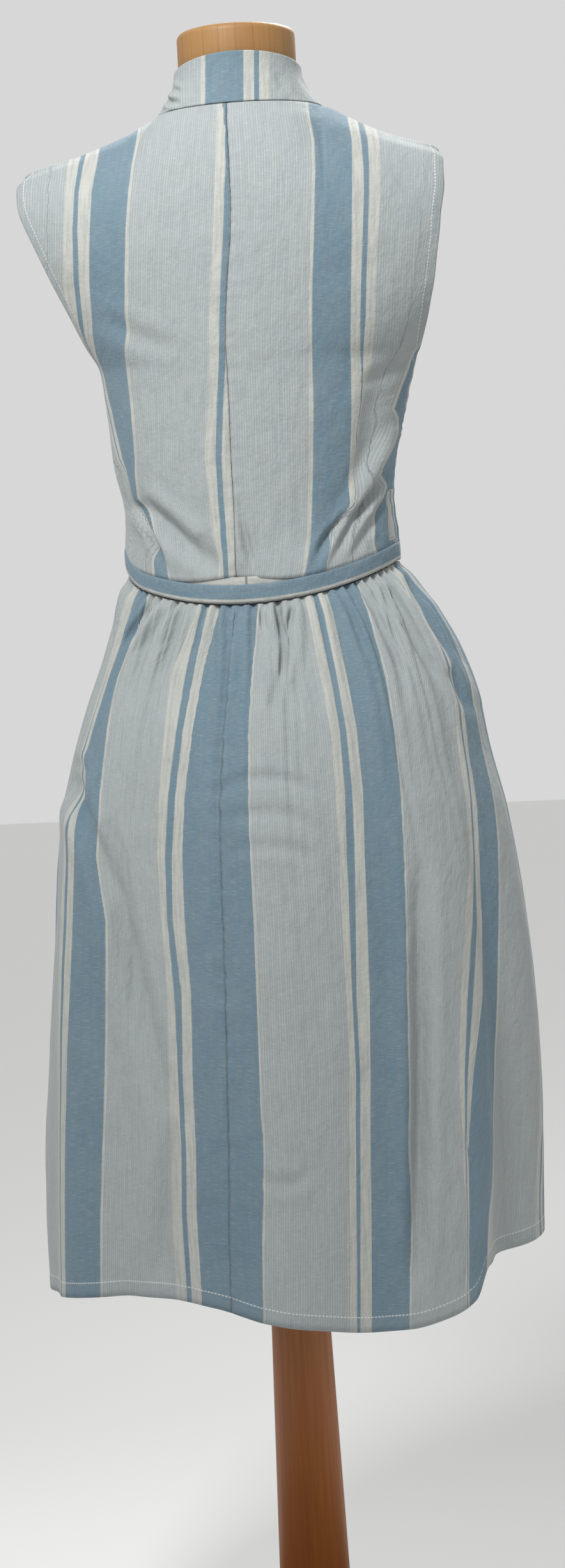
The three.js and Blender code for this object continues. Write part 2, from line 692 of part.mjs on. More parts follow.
// Buttons down the placket, each a disc with a soft rim
const BUTTON_FACE = 0.78;
const buttonProfile = [
  new THREE.Vector2(0, 0),
  new THREE.Vector2(BUTTON_RADIUS * BUTTON_FACE, 0),
  new THREE.Vector2(BUTTON_RADIUS, BUTTON_THICKNESS * 0.4),
  new THREE.Vector2(BUTTON_RADIUS, BUTTON_THICKNESS * 0.7),
  new THREE.Vector2(BUTTON_RADIUS * BUTTON_FACE, BUTTON_THICKNESS),
  new THREE.Vector2(0, BUTTON_THICKNESS * 0.8),
];
const BUTTON_SIDES = 12;
const BUTTON_GAP = 0.9;
const LOWEST_BUTTON_UP = 0.1;
const BUTTONS_REACH = 0.82;
const SLOPE_STEP = 0.03;

for (let k = 0; k < BUTTON_COUNT; k += 1) {
  const up = LOWEST_BUTTON_UP + BUTTONS_REACH * k / (BUTTON_COUNT - 1);
  const here = placketPoint(up, 0);
  const below = placketPoint(up - SLOPE_STEP, 0);
  const slope = Math.atan2(here.y - below.y, here.z - below.z);
  const geometry = new THREE.LatheGeometry(buttonProfile, BUTTON_SIDES);
  const button = addPiece(`button_${k + 1}`, geometry, BUTTON_LOOK);
  button.rotation.set(Math.PI - slope, 0, 0);
  button.position.copy(here);
  button.position.y -= BUTTON_GAP * Math.cos(slope);
  button.position.z += BUTTON_GAP * Math.sin(slope);
}

// Dress form: smooth torso, closed at the top of the neck and under the hips
const FORM_SIDES = 30;
const BODY_STEP = 50;
const SHOULDER_HEIGHTS = [1350, 1372, 1390, 1404, 1418, 1435];
const formHeights = [];
for (let z = FORM_BOTTOM; z < SHOULDER_HEIGHTS[0]; z += BODY_STEP) formHeights.push(z);
formHeights.push(...SHOULDER_HEIGHTS);

function formRing(z) {
  const half = lookUp(formTable, 'z', z, 'half');
  const shift = lookUp(formTable, 'z', z, 'shift');
  const ring = [];
  for (let i = 0; i < FORM_SIDES; i += 1) {
    const angle = 2 * Math.PI * i / FORM_SIDES;
    const depth = lookUp(formTable, 'z', z, Math.cos(angle) > 0 ? 'back' : 'front');
    ring.push(new THREE.Vector3(shift + half * Math.sin(angle), depth * Math.cos(angle), z));
  }
  return ring;
}

addPiece('form_torso', loftGeometry(formHeights.map(formRing)), FORM_LOOK);

// Stand: base, post and the wooden cap on the form's neck, each from (radius, height) pairs
const ROUND_SIDES = 32;
const MID_ROUNDING = 0.3;

function turnedPiece(name, profile, look) {
  const points = profile.map(([radius, z]) => new THREE.Vector2(radius, z));
  const piece = addPiece(name, new THREE.LatheGeometry(points, ROUND_SIDES), look);
  piece.rotation.x = Math.PI / 2;
  return piece;
}

const cap = turnedPiece('neck_cap', [
  [0, CAP_BOTTOM],
  [CAP_RADIUS, CAP_BOTTOM],
  [CAP_RADIUS, CAP_TOP - CAP_ROUNDING],
  [CAP_RADIUS - CAP_ROUNDING * MID_ROUNDING, CAP_TOP - CAP_ROUNDING * MID_ROUNDING],
  [CAP_RADIUS - CAP_ROUNDING, CAP_TOP],
  [0, CAP_TOP],
], PALE_WOOD_LOOK);
cap.position.x = NECK_SHIFT;
turnedPiece('stand_post', [
  [0, BASE_HEIGHT + POST_GAP],
  [POST_FOOT_RADIUS, BASE_HEIGHT + POST_GAP],
  [POST_TOP_RADIUS, FORM_BOTTOM - POST_GAP],
  [0, FORM_BOTTOM - POST_GAP],
], BROWN_WOOD_LOOK);
turnedPiece('stand_base', [
  [0, 0],
  [BASE_RADIUS - BASE_FOOT_BEVEL, 0],
  [BASE_RADIUS, BASE_FOOT_BEVEL],
  [BASE_RADIUS, BASE_HEIGHT - BASE_ROUNDING],
  [BASE_RADIUS - BASE_ROUNDING * MID_ROUNDING, BASE_HEIGHT - BASE_ROUNDING * MID_ROUNDING],
  [BASE_RADIUS - BASE_ROUNDING, BASE_HEIGHT],
  [0, BASE_HEIGHT],
], BROWN_WOOD_LOOK);

export default dress;
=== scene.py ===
"""Sleeveless striped cotton midi dress with a tie belt, on a limbless dress form.

Sizes in the tables are millimetres, in the frame of the solids: +Z up, the front faces -Y,
the wearer's left is +X. Meshes are made in metres.
"""
import math

import bpy
import numpy as np
from mathutils import Matrix, Vector


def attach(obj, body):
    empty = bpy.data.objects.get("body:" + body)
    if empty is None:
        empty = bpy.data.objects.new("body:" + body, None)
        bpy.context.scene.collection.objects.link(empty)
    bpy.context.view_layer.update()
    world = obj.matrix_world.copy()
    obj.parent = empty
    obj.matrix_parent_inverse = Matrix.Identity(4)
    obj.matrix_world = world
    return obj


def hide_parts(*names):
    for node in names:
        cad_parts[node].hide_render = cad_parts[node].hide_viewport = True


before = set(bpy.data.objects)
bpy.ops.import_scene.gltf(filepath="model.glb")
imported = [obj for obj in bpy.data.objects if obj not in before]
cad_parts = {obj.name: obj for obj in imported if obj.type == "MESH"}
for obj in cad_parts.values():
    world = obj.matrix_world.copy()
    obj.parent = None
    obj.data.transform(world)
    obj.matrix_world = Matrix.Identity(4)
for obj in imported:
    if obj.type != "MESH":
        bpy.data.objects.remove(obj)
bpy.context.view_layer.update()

MM = 0.001
DEGREE = math.pi / 180
RNG = np.random.default_rng(7)

# Camera, as in the photo
CAMERA_AZIMUTH = 190
CAMERA_DISTANCE = 2.7
CAMERA_HEIGHT = 0.98
AIM_HEIGHT = 0.8276
AIM_RIGHT = 0.0106
CAMERA_ROLL = -3.2
PIXEL_SIZE_MM = 0.58
PHOTO_WIDTH = 884
PHOTO_HEIGHT = 2453
SENSOR = 36

# Cloth and seams, shared with the solids
SEAM_HALF_GAP = 0.2
SKIRT_TOP_GAP = 0.6
WAIST_SIDE_HEIGHT = 1036
WAIST_BACK_DROP = 32
WAIST_BACK_HEIGHT = WAIST_SIDE_HEIGHT - WAIST_BACK_DROP
WAIST_FRONT_DROP = 4
WAISTBAND_HEIGHT = 24
SAG_FADE = 150
SHELL = 0.8
BELT_WIDTH = 16
BELT_THICKNESS = 1.8
BELT_STANDOFF = 0.7
BELT_SLIP = 3
TAIL_LENGTHS = [215, 190]
PLACKET_WIDTH = 26
PLACKET_STANDOFF = 0.6
CLOTH = 1.4
BUTTON_COUNT = 5
SHOULDER_BEND_START = 0.72
NECK_HALF_WIDTH = 75
NECK_SIDE_HEIGHT = 1431
NECK_BACK_HEIGHT = 1431
NECK_FRONT_HEIGHT = 1407
NECK_BACK_DEPTH = 63
NECK_FRONT_DEPTH = 68
NECK_SHIFT = -6
SHOULDER_TIP_SHIFT = 6
RIGHT_SHOULDER_DROP = 5
COLLAR_TOP_RADIUS = 57.5
COLLAR_TOP_BACK = 1476.5
COLLAR_TOP_FRONT = 1455
COLLAR_LEFT_DROP = 2
COLLAR_SEAM_LIFT = 0.6
CAP_RADIUS = 53
CAP_TOP = 1503
CAP_BOTTOM = 1436
POST_FOOT_RADIUS = 34
POST_TOP_RADIUS = 16.5
BASE_RADIUS = 175
BASE_HEIGHT = 25
FORM_BOTTOM = 800
POST_GAP = 0.4

BODICE_COLUMNS = ["z", "half", "back", "front", "turn", "edge", "lean", "inset"]
BODICE_SECTIONS = [
    [1020, 123, 95, 92, 90, 0, -4, 0],
    [1050, 122, 94, 92, 90, 0, -4, 0],
    [1080, 122, 92, 97, 90, 0, -4, 0],
    [1120, 128, 93, 105, 90, 0, -3, 0],
    [1165, 135, 95, 111, 90, 0, -7, 0],
    [1187, 139, 96, 112, 90, 0, -9, 0],
    [1205, 143, 97, 113, 90, 0, -11, 0],
    [1216, 148, 98, 113, 84, 16, -13, 6],
    [1232, 155, 99, 112, 74, 32, -13, 14],
    [1258, 164, 100, 110, 66, 43, -12, 20],
    [1290, 174, 101, 107, 62, 46, -8, 24],
    [1325, 184, 99, 101, 60, 41, -3, 24],
    [1360, 193, 92, 93, 60, 28, 2, 18],
    [1382, 194, 84, 86, 62, 12, 7, 8],
    [1393, 189, 78, 82, 66, 0, 10, 0],
]

SHOULDER_COLUMNS = ["x", "z"]
SHOULDER_LINE = [
    [75, 1431],
    [100, 1420],
    [135, 1407],
    [170, 1398],
    [184, 1394],
    [190, 1390],
]

SKIRT_COLUMNS = ["z", "half", "back", "front", "shift"]
SKIRT_SECTIONS = [
    [1036, 123, 95, 92, -4],
    [1023, 124, 96, 93, -4],
    [1012, 133, 103, 98, -5],
    [1000, 139, 108, 102, -7],
    [980, 149, 115, 107, -12],
    [940, 166, 130, 118, -15],
    [900, 180, 146, 131, -13],
    [850, 192, 160, 143, -9],
    [800, 204, 170, 152, -8],
    [700, 215, 181, 163, -8],
    [600, 222, 188, 171, -6],
    [500, 225, 193, 177, -1],
    [380, 225, 197, 181, 3],
]

HEM_COLUMNS = ["angle", "z"]
HEM_LINE = [
    [-180, 388],
    [-120, 400],
    [-92, 416],
    [-74, 411],
    [-60, 407],
    [-55, 381],
    [-48, 369],
    [-40, 363],
    [-32, 364],
    [-20, 371],
    [-8, 380],
    [4, 393],
    [15, 399],
    [26, 397],
    [40, 391],
    [60, 383],
    [90, 378],
    [130, 384],
    [180, 388],
]

CENTRE_COLUMNS = ["z", "back"]
CENTRE_LINE = [
    [360, 25],
    [440, 24],
    [530, 20.5],
    [620, 18],
    [720, 17],
    [800, 17],
    [880, 14],
    [934, 11],
    [984, 7],
    [1016, 4],
    [1060, 2.8],
    [1118, 2.7],
    [1162, 1.5],
    [1206, 1.1],
    [1228, 0.4],
    [1272, -4.1],
    [1316, -9.5],
    [1349, -11.4],
    [1395, -12],
    [1425, -11],
]

# Large folds of the skirt: angle, width in degrees, depth, top, foot and drift in degrees
FOLDS = [
    [24, 10, -9, 960, 300, 6],
    [52, 13, 10, 980, 300, 4],
    [74, 9, -11, 900, 300, -14],
    [-10, 8, 5, 1000, 300, -3],
    [-31, 10, -8, 980, 300, -4],
    [-52, 10, 9, 940, 300, -3],
    [-68, 7, -13, 820, 300, -2],
    [-86, 10, 7, 960, 300, 0],
    [104, 12, 8, 960, 300, 0],
    [126, 11, -9, 940, 300, 5],
    [152, 12, 8, 960, 300, 0],
    [176, 11, -8, 980, 300, 4],
    [-158, 12, 8, 950, 300, 0],
    [-134, 11, -9, 940, 300, -5],
    [-110, 11, 7, 940, 300, 0],
]

UNDERARM = 1208

FORM_COLUMNS = ["z", "half", "back", "front", "shift"]
FORM_SECTIONS = [
    [800, 148, 92, 84, 0],
    [850, 156, 104, 92, 0],
    [900, 152, 104, 90, 0],
    [950, 136, 94, 84, 0],
    [1000, 112, 82, 78, 0],
    [1040, 106, 80, 78, 0],
    [1090, 108, 82, 84, -2],
    [1150, 116, 86, 96, -4],
    [1210, 128, 89, 102, -8],
    [1270, 137, 91, 96, -5],
    [1330, 140, 86, 86, 0],
    [1365, 130, 72, 72, 0],
    [1390, 104, 56, 56, -2],
    [1408, 76, 49, 49, -4],
    [1424, 56, 46, 46, -6],
    [1435, 49, 47, 47, -6],
]

# The woven stripe: name and width of each band, in the order of the repeat
STRIPE_BANDS = [
    ["light", 81.0],
    ["white", 9.3],
    ["blue", 4.4],
    ["white", 9.3],
    ["blue", 33.4],
    ["white", 3.8],
]
STRIPE_REPEAT = sum(width for band, width in STRIPE_BANDS)
LIGHT_END = STRIPE_BANDS[0][1]
THIN_WHITE_START = STRIPE_REPEAT - STRIPE_BANDS[-1][1]

# Woven lines on the skirt's back: for each pixel row of the photo, the pixel column of the
# seam and of each line, named by the line's place in the repeat, in mm
LEFT_SKIRT_COLUMNS = ["row", "seam", 104.0, 94.7, 90.3, 81.0, 0.0, -3.8, -37.2, -46.5]
LEFT_SKIRT_LINES = [
    [900, 358, 345, 329, 318, 314, 236, 234, 222, 217],
    [960, 355, 334, 317, 307.5, 301.5, 226, 223.5, 204, 196],
    [1060, 350, 312, 299, 286.5, 263.5, 183, 179.5, 162, 152],
    [1140, 345.5, 299, 284.5, 274.5, 255.5, 170, 166.5, 136, 124],
    [1240, 343, 288, 274, 262, 247.5, 159, 155.5, 115, 104],
    [1340, 343.5, 283.5, 268, 256.5, 244.5, 153, 149.5, 116, 104],
    [1440, 347.5, 287.5, 269, 260, 251, 168, 164.5, 112.5, 100],
    [1560, 351, 297.5, 283.5, 271, 261, 168, 164.5, 107.5, 94],
    [1680, 353.5, 299.5, 284.5, 277, 262.5, 167, 163.5, 101, 88],
    [1800, 355.5, 304.5, 289.5, 282, 266.5, 163, 159.5, 98, 84],
    [1900, 357, 306.5, 291, 283.5, 268, 160, 156.5, 98, 84],
    [2000, 360, 313, 297.5, 290, 274, 160, 156.5, 97, 83],
    [2080, 361, 316, 300.5, 293, 277, 160, 156.5, 97, 83],
]
LEFT_SKIRT_SEAM_PLACE = 134.0
RIGHT_SKIRT_COLUMNS = ["row", "seam", 137.4, 141.2, 222.2, 231.5, 235.9, 245.2, 278.6, 282.4,
                       363.4, 372.7, 377.1, 386.4, 419.8]
RIGHT_SKIRT_LINES = [
    [900, 358, 400, 403, 464, 479, 486, 501, 552, 554, 640, 648, 652, 660, 690],
    [960, 355, 398, 400.5, 480.5, 495, 505.5, 520, 576, 578.5, 684, 690, 693, 698, 720],
    [1060, 350, 389.5, 391, 499.5, 516, 526.5, 542, 603, 605.5, 728, 730, 731, 732, 765],
    [1140, 345.5, 385.5, 388, 515.5, 530, 540.5, 557, 615.5, 617.5, 723, 726, 727, 730, 778],
    [1240, 343, 387.5, 389, 523.5, 538.5, 550.5, 567, 626.5, 628.5, 733, 736, 737.5, 739.5, 790],
    [1340, 343.5, 390.5, 392, 529.5, 541, 554.5, 569.5, 631.5, 633.5, 736, 742, 745, 753, 792],
    [1440, 347.5, 396.5, 398, 534, 545.5, 555.5, 573.5, 634.5, 636.5, 727, 738.5, 746.5, 761.5, 796],
    [1560, 351, 400.5, 402, 541, 549.5, 556.5, 577.5, 636.5, 638.5, 720, 730.5, 739.5, 754.5, 803.5],
    [1680, 353.5, 404.5, 406, 545.5, 555.5, 562.5, 578.5, 639.5, 641.5, 717, 726, 731, 739.5, 794.5],
    [1800, 355.5, 410.5, 412, 545, 555.5, 562.5, 578.5, 638.5, 641, 724, 727, 728.5, 730.5, 777.5],
    [1900, 357, 410.5, 412, 546, 556.5, 562.5, 580, 643.5, 646, 729, 730, 731, 732.5, 763.5],
    [2000, 360, 410.5, 412, 547, 557.5, 562.5, 580.5, 640.5, 643, 729, 730, 731, 733, 760],
    [2080, 361, 410.5, 412, 547, 557.5, 562.5, 580.5, 640.5, 643, 729, 730, 731, 733, 757],
]
RIGHT_SKIRT_SEAM_PLACE = 111.4
LEFT_SEEN_TO = 44
RIGHT_SEEN_TO = -60
SEEN_BLEND = 17
CLOTH_PER_DEGREE = 3.9

# Woven lines on the bodice's back: for each pixel row of the photo, the pixel column of the
# seam and of each line, named by the line's place in the repeat
LEFT_BACK_COLUMNS = ["row", "seam", 94.7, 90.3, 81.0, 0.0, -3.8, -37.2, -46.5, -50.9, -60.2, -75.0]
LEFT_BACK_LINES = [
    [170, 360.7, 366, 360.7, 344.5, 226, 222, 166, 150, 142, 126, 100],
    [220, 360.7, 361, 356.8, 340.2, 218.7, 214.2, 160, 141, 134, 117, 91],
    [260, 360.5, 360.3, 355.7, 338.4, 210.2, 205.9, 151.3, 130, 123, 105.8, 80],
    [300, 361, 360.7, 351.8, 335.6, 205, 200.4, 143, 122.6, 116, 101, 75],
    [360, 360, 359.5, 348.8, 332.6, 201, 195.8, 139.4, 120.4, 112.7, 99, 73],
    [440, 355, 354.8, 345, 328.6, 200.4, 194.3, 138.8, 123, 115, 98, 75],
    [520, 352, 351.7, 343, 326.5, 201, 195.8, 145, 131, 124, 108, 88],
    [560, 353.5, 353, 342.5, 327, 201, 196.5, 150, 137, 130, 114, 95],
    [640, 358, 349, 339, 323, 209, 204, 174, 168, 165, 160, 150],
    [680, 359.5, 348, 338, 321.5, 212, 207, 183, 178, 176, 172, 164],
    [720, 361, 347, 337.5, 320, 214, 210, 192, 188, 187, 184, 178],
    [740, 361.5, 347.5, 338.5, 322, 214, 210, 199, 198, 197.5, 196.5, 190],
    [783, 364.5, 350, 341, 326, 219, 214.5, 208.5, 208, 207.5, 207, 200],
    [800, 366, 352, 343, 327.5, 230, 226, 215.5, 215, 214.5, 214, 207],
    [820, 367, 354, 344.5, 329.5, 240, 236, 228, 227.5, 227, 226.5, 219],
    [840, 368, 355, 345.5, 332, 249, 244.5, 241, 240.5, 240, 239.5, 232],
    [850, 368, 356, 346, 336, 253, 248.5, 246, 245.5, 245, 244.5, 238],
    [870, 368.5, 357.5, 348.5, 341, 261, 257, 242, 236, 235.5, 235, 228],
    [900, 369, 358, 350, 341, 270, 265.5, 243, 237, 236.5, 236, 229],
]
RIGHT_BACK_COLUMNS = ["row", "seam", 0.0, -3.8, -37.2, -46.5, -50.9, -60.2, -141.2, -145.0, -178.4]
RIGHT_BACK_LINES = [
    [170, 360.7, 478, 483, 541, 556, 562, 580, 730, 734, 790],
    [220, 360.7, 487, 491.9, 550, 564.5, 574.8, 592.7, 730, 734, 790],
    [260, 360.5, 488, 492.9, 550.2, 568, 577, 594.8, 730, 734, 790],
    [300, 361, 486.7, 491.6, 550.2, 568.7, 577, 594.2, 728, 732, 790],
    [360, 360, 485, 490.4, 549.6, 567, 575, 591, 722, 726, 780],
    [440, 355, 482.8, 488, 548.6, 564, 572.4, 587.5, 710, 714, 770],
    [500, 352, 482, 487.5, 548, 563, 571.5, 586, 690, 694, 740],
    [540, 352.5, 482, 487.5, 547.5, 563, 568, 583, 668, 671, 700],
    [560, 353.5, 482, 487.8, 548, 564, 567, 580, 650, 653, 690],
    [580, 354.5, 482, 488, 548, 565, 566, 578, 634, 637, 680],
    [600, 355.5, 482, 489, 548, 565, 565.5, 573, 626, 629, 680],
    [640, 358, 482, 490, 548, 563.5, 564, 566, 612, 616, 660],
    [660, 359, 482, 490, 548, 561, 561.5, 562, 622, 627, 670],
    [680, 360, 482, 489.5, 547.5, 559, 559.5, 560, 614, 617, 660],
    [720, 361, 482, 489, 547, 557, 557.5, 558, 594, 597, 640],
    [735, 361.3, 481.7, 488.7, 546.7, 555.5, 556, 556.5, 588, 592, 640],
    [750, 362, 481.5, 488.5, 546, 554.5, 555, 555.5, 598, 603, 640],
    [760, 362.5, 481.2, 488.3, 545.8, 554, 554.5, 555, 603, 607, 640],
    [768, 363, 481, 488, 545.5, 553.5, 554, 554.5, 598, 601, 603],
    [790, 365, 480.5, 487.5, 545, 550, 550.5, 551, 591, 594, 605],
    [800, 366, 480, 487, 541, 541.5, 542, 542.5, 588, 591, 605],
    [815, 366.7, 479.5, 486.7, 531, 531.5, 532, 532.5, 584, 586.5, 604],
    [830, 367.5, 479, 486.5, 520, 520.5, 521, 521.5, 578, 581, 603],
    [840, 368, 478.5, 486, 516, 516.5, 517, 517.5, 577, 580, 640],
    [860, 368, 474, 482, 510, 510.5, 511, 511.5, 583, 587, 640],
    [880, 368.5, 470, 476, 506, 506.5, 507, 507.5, 587, 590, 640],
    [905, 369, 462, 468, 503, 503.5, 504, 504.5, 590, 593, 640],
]
RIGHT_BACK_SEAM_PLACE = 71.0
CLOTH_PER_PIXEL = 0.56
REPEAT_BEFORE = -141.2
HIDDEN_CLOTH = 26
SEAM_PULL_REACH = 60
OUTLINE_SHARE = 0.94
OUTLINE_BLEND = 30
SMOOTHED_ROWS = 31

# Creases: depth (troughs below 0), half width, and three points of the
# crease as seen from behind, where u is mm to the right of the stand and v is the height
COLLAR_CREASES = [
    [-1.3, 2.6, -60, 1469, -55, 1463, -46, 1460],
    [-1.4, 2.4, -66, 1458, -58, 1452, -48, 1450],
    [-1.2, 2.4, -71, 1447, -62, 1442, -53, 1441],
    [1.0, 3.0, -64, 1464, -58, 1458, -48, 1456],
    [0.8, 2.6, -68, 1452, -61, 1447, -51, 1446],
    [-0.7, 3, 40, 1473, 45, 1462, 51, 1450],
    [-0.6, 3, -18, 1486, -18, 1472, -22, 1454],
]
BACK_CREASES = [
    [-4.6, 7, -107, 1091, -76, 1062, -39, 1019],
    [-3.0, 3, -111, 1091, -94, 1056, -81, 1021],
    [-2.8, 8, -52, 1058, -43, 1038, -40, 1022],
    [-2.0, 3, -16, 1085, -10, 1047, -2, 1014],
    [1.2, 6, -22, 1077, -18, 1048, -14, 1021],
    [3.0, 6.5, 134, 1147, 108, 1107, 81, 1068],
    [1.8, 5, 86, 1070, 63, 1042, 47, 1016],
    [-2.4, 3, 117, 1103, 96, 1074, 66, 1037],
    [1.6, 4, 121, 1092, 95, 1061, 62, 1020],
    [-1.7, 3, 118, 1081, 101, 1058, 75, 1025],
    [1.3, 3.5, 106, 1063, 91, 1039, 78, 1016],
    [-1.4, 3, 101, 1048, 93, 1031, 86, 1016],
    [-3.4, 3.2, 86, 1071, 64, 1050, 40, 1017],
    [-2.0, 10, 124, 1194, 109, 1154, 98, 1105],
    [-1.2, 8, -135, 1263, -104, 1244, -64, 1227],
    [-1.6, 6, 154, 1215, 132, 1199, 102, 1186],
    [-2.8, 2.6, -1, 997, 0, 986, 0, 968],
    [-2.6, 2.6, 13, 996, 15, 981, 19, 958],
    [-2.2, 2.4, 32, 994, 25, 975, 22, 952],
    [-1.8, 4, 23, 958, 15, 930, 4, 895],
    [1.2, 5, 7, 991, 6, 959, 1, 925],
    [1.2, 5, 35, 987, 29, 952, 25, 917],
    [-2.2, 3.5, 99, 997, 110, 962, 124, 921],
    [-2.4, 4, 117, 1002, 133, 961, 156, 913],
    [-2.2, 3.5, 131, 1010, 148, 977, 170, 938],
    [-2.0, 4, 110, 1001, 119, 959, 127, 894],
    [1.3, 5, 124, 1008, 140, 966, 163, 921],
    [-2.0, 3, -96, 1001, -112, 980, -128, 960],
    [-2.0, 3.5, -83, 998, -99, 974, -115, 951],
    [-1.6, 3.5, -71, 995, -82, 964, -94, 930],
    [-1.4, 4, -101, 965, -116, 937, -125, 908],
    [-1.3, 3, -23, 993, -25, 975, -29, 955],
    [-1.2, 3, 79, 993, 85, 966, 92, 937],
    [-6.0, 10, -154, 805, -138, 677, -111, 530],
    [-4.5, 9, -111, 530, -117, 455, -128, 380],
    [-5.4, 7, -190, 874, -171, 801, -155, 733],
    [-3.0, 5, -176, 862, -171, 847, -175, 830],
    [-6.0, 8, 130, 749, 120, 546, 106, 367],
    [-1.7, 5, -49, 827, -2, 834, 45, 817],
    [-1.5, 5, -47, 797, 3, 802, 39, 783],
    [-1.4, 5, -46, 768, 0, 771, 35, 758],
    [-2.1, 5, -29, 472, -7, 465, 14, 474],
    [-2.4, 5, 168, 924, 177, 903, 186, 884],
]

# The same for the front, as seen from in front
FRONT_CREASES = [
    [-4.0, 8, -104, 1100, -78, 1062, -46, 1040],
    [-2.2, 5, -112, 1086, -96, 1062, -80, 1040],
    [-3.6, 7, 106, 1104, 82, 1066, 52, 1040],
    [-1.8, 5, 116, 1088, 102, 1064, 92, 1042],
    [-2.0, 8, -148, 1246, -112, 1214, -66, 1196],
    [-2.0, 8, 150, 1250, 114, 1212, 70, 1192],
    [-1.4, 7, -96, 1190, -84, 1150, -64, 1118],
    [-1.4, 7, 98, 1184, 86, 1146, 70, 1110],
    [-1.2, 6, -52, 1330, -30, 1290, -22, 1240],
    [-1.2, 6, 50, 1334, 34, 1290, 22, 1246],
    [-4.0, 9, -150, 820, -136, 690, -120, 540],
    [-3.6, 9, 146, 810, 150, 660, 136, 500],
    [-3.2, 8, 64, 860, 72, 700, 60, 480],
    [-3.2, 8, -60, 880, -52, 720, -66, 520],
    [-1.2, 5, -40, 800, 6, 806, 46, 792],
    [-2.6, 4, -96, 1004, -104, 966, -112, 918],
    [-2.6, 4, 98, 1006, 112, 962, 118, 914],
    [-2.4, 4, -60, 1010, -66, 968, -70, 922],
    [-2.4, 4, 66, 1008, 72, 964, 82, 916],
    [-2.2, 4, -128, 1012, -144, 974, -156, 936],
    [-2.2, 4, 126, 1010, 142, 972, 150, 930],
]

# Colours as seen on the cloth, sRGB out of 255
LIGHT_GROUND = (168, 170, 165)
WHITE_BAND = (180, 180, 173)
BLUE_BAND = (95, 121, 136)
HEATHER = (118, 127, 129)
THREAD = (226, 226, 220)
FORM_COVER = (226, 220, 208)
PALE_WOOD = (168, 132, 80)
BOARD_JOINT = (112, 72, 32)
BROWN_WOOD = (172, 104, 40)
BUTTON = (236, 233, 224)


def table_of(columns, rows):
    """A table as arrays by column name, in rising order of its first column."""
    order = sorted(rows, key=lambda row: row[0])
    return {name: np.array([row[i] for row in order], float) for i, name in enumerate(columns)}


bodice_table = table_of(BODICE_COLUMNS, BODICE_SECTIONS)
shoulder_table = table_of(SHOULDER_COLUMNS, SHOULDER_LINE)
skirt_table = table_of(SKIRT_COLUMNS, SKIRT_SECTIONS)
hem_table = table_of(HEM_COLUMNS, HEM_LINE)
centre_table = table_of(CENTRE_COLUMNS, CENTRE_LINE)
form_table = table_of(FORM_COLUMNS, FORM_SECTIONS)
WAIST_HALF, WAIST_BACK_DEPTH, WAIST_FRONT_DEPTH, WAIST_SHIFT = SKIRT_SECTIONS[0][1:]


def look_up(table, at, column):
    """Smooth reading of one column by the first, monotone between its rows."""
    xs, ys = next(iter(table.values())), table[column]
    gaps = np.diff(xs)
    rises = np.diff(ys) / gaps
    slopes = np.zeros(len(xs))
    product = rises[:-1] * rises[1:]
    total = np.where(np.abs(rises[:-1] + rises[1:]) < 1e-12, 1, rises[:-1] + rises[1:])
    slopes[1:-1] = np.where(product > 0, 2 * product / total, 0)
    at = np.clip(np.asarray(at, float), xs[0], xs[-1])
    k = np.clip(np.searchsorted(xs, at, side="right") - 1, 0, len(xs) - 2)
    t = (at - xs[k]) / gaps[k]
    start = (2 * t**3 - 3 * t**2 + 1) * ys[k] + (t**3 - 2 * t**2 + t) * gaps[k] * slopes[k]
    end = (3 * t**2 - 2 * t**3) * ys[k + 1] + (t**3 - t**2) * gaps[k] * slopes[k + 1]
    return start + end


def smooth_step(t):
    """0 below 0, 1 above 1, and a smooth rise between."""
    c = np.clip(t, 0, 1)
    return c * c * (3 - 2 * c)


def waist_height(angle):
    """Height of the waist seam round the body; the belt sags at the back."""
    back = np.maximum(0, np.cos(angle)) ** 1.5
    front = np.maximum(0, -np.cos(angle)) ** 1.5
    return WAIST_SIDE_HEIGHT - WAIST_BACK_DROP * back - WAIST_FRONT_DROP * front


def levelled(angle, z):
    """A height measured as if the waist seam were level; the sag fades out away from it."""
    sag = WAIST_SIDE_HEIGHT - waist_height(angle)
    return z + sag * np.exp(-np.abs(waist_height(angle) - z) / SAG_FADE)


def turned_angle(angle, z, half, shift):
    """Turns an angle round the body so that its centre back falls on the wandering seam."""
    offset = look_up(centre_table, z, "back") - shift
    return angle + np.arcsin(offset / half) * np.maximum(0, np.cos(angle / 2)) ** 2


def fold_offset(angle, z):
    """Sum of the large folds at an angle, in radians, and a height."""
    total = np.zeros(np.broadcast(angle, z).shape)
    for place, width, depth, top, foot, drift in FOLDS:
        run = smooth_step((top - z) / (top - foot) * 1.6)
        away = (angle / DEGREE - place - drift * run + 180) % 360 - 180
        total = total + depth * run * np.exp(-((away / width) ** 2))
    return total


# Gathers: each has its own depth and length, as real gathering does
GATHERS_PER_QUARTER = 18
GATHER_DEPTH = 5
GATHER_FADE = 95
GATHER_DEPTH_RANGE = (0.45, 1.5)
GATHER_FADE_RANGE = (0.35, 1.7)
GATHER_WANDER_FROM = 60
gather_depths = GATHER_DEPTH * RNG.uniform(*GATHER_DEPTH_RANGE, 4 * GATHERS_PER_QUARTER)
gather_fades = GATHER_FADE * RNG.uniform(*GATHER_FADE_RANGE, 4 * GATHERS_PER_QUARTER)


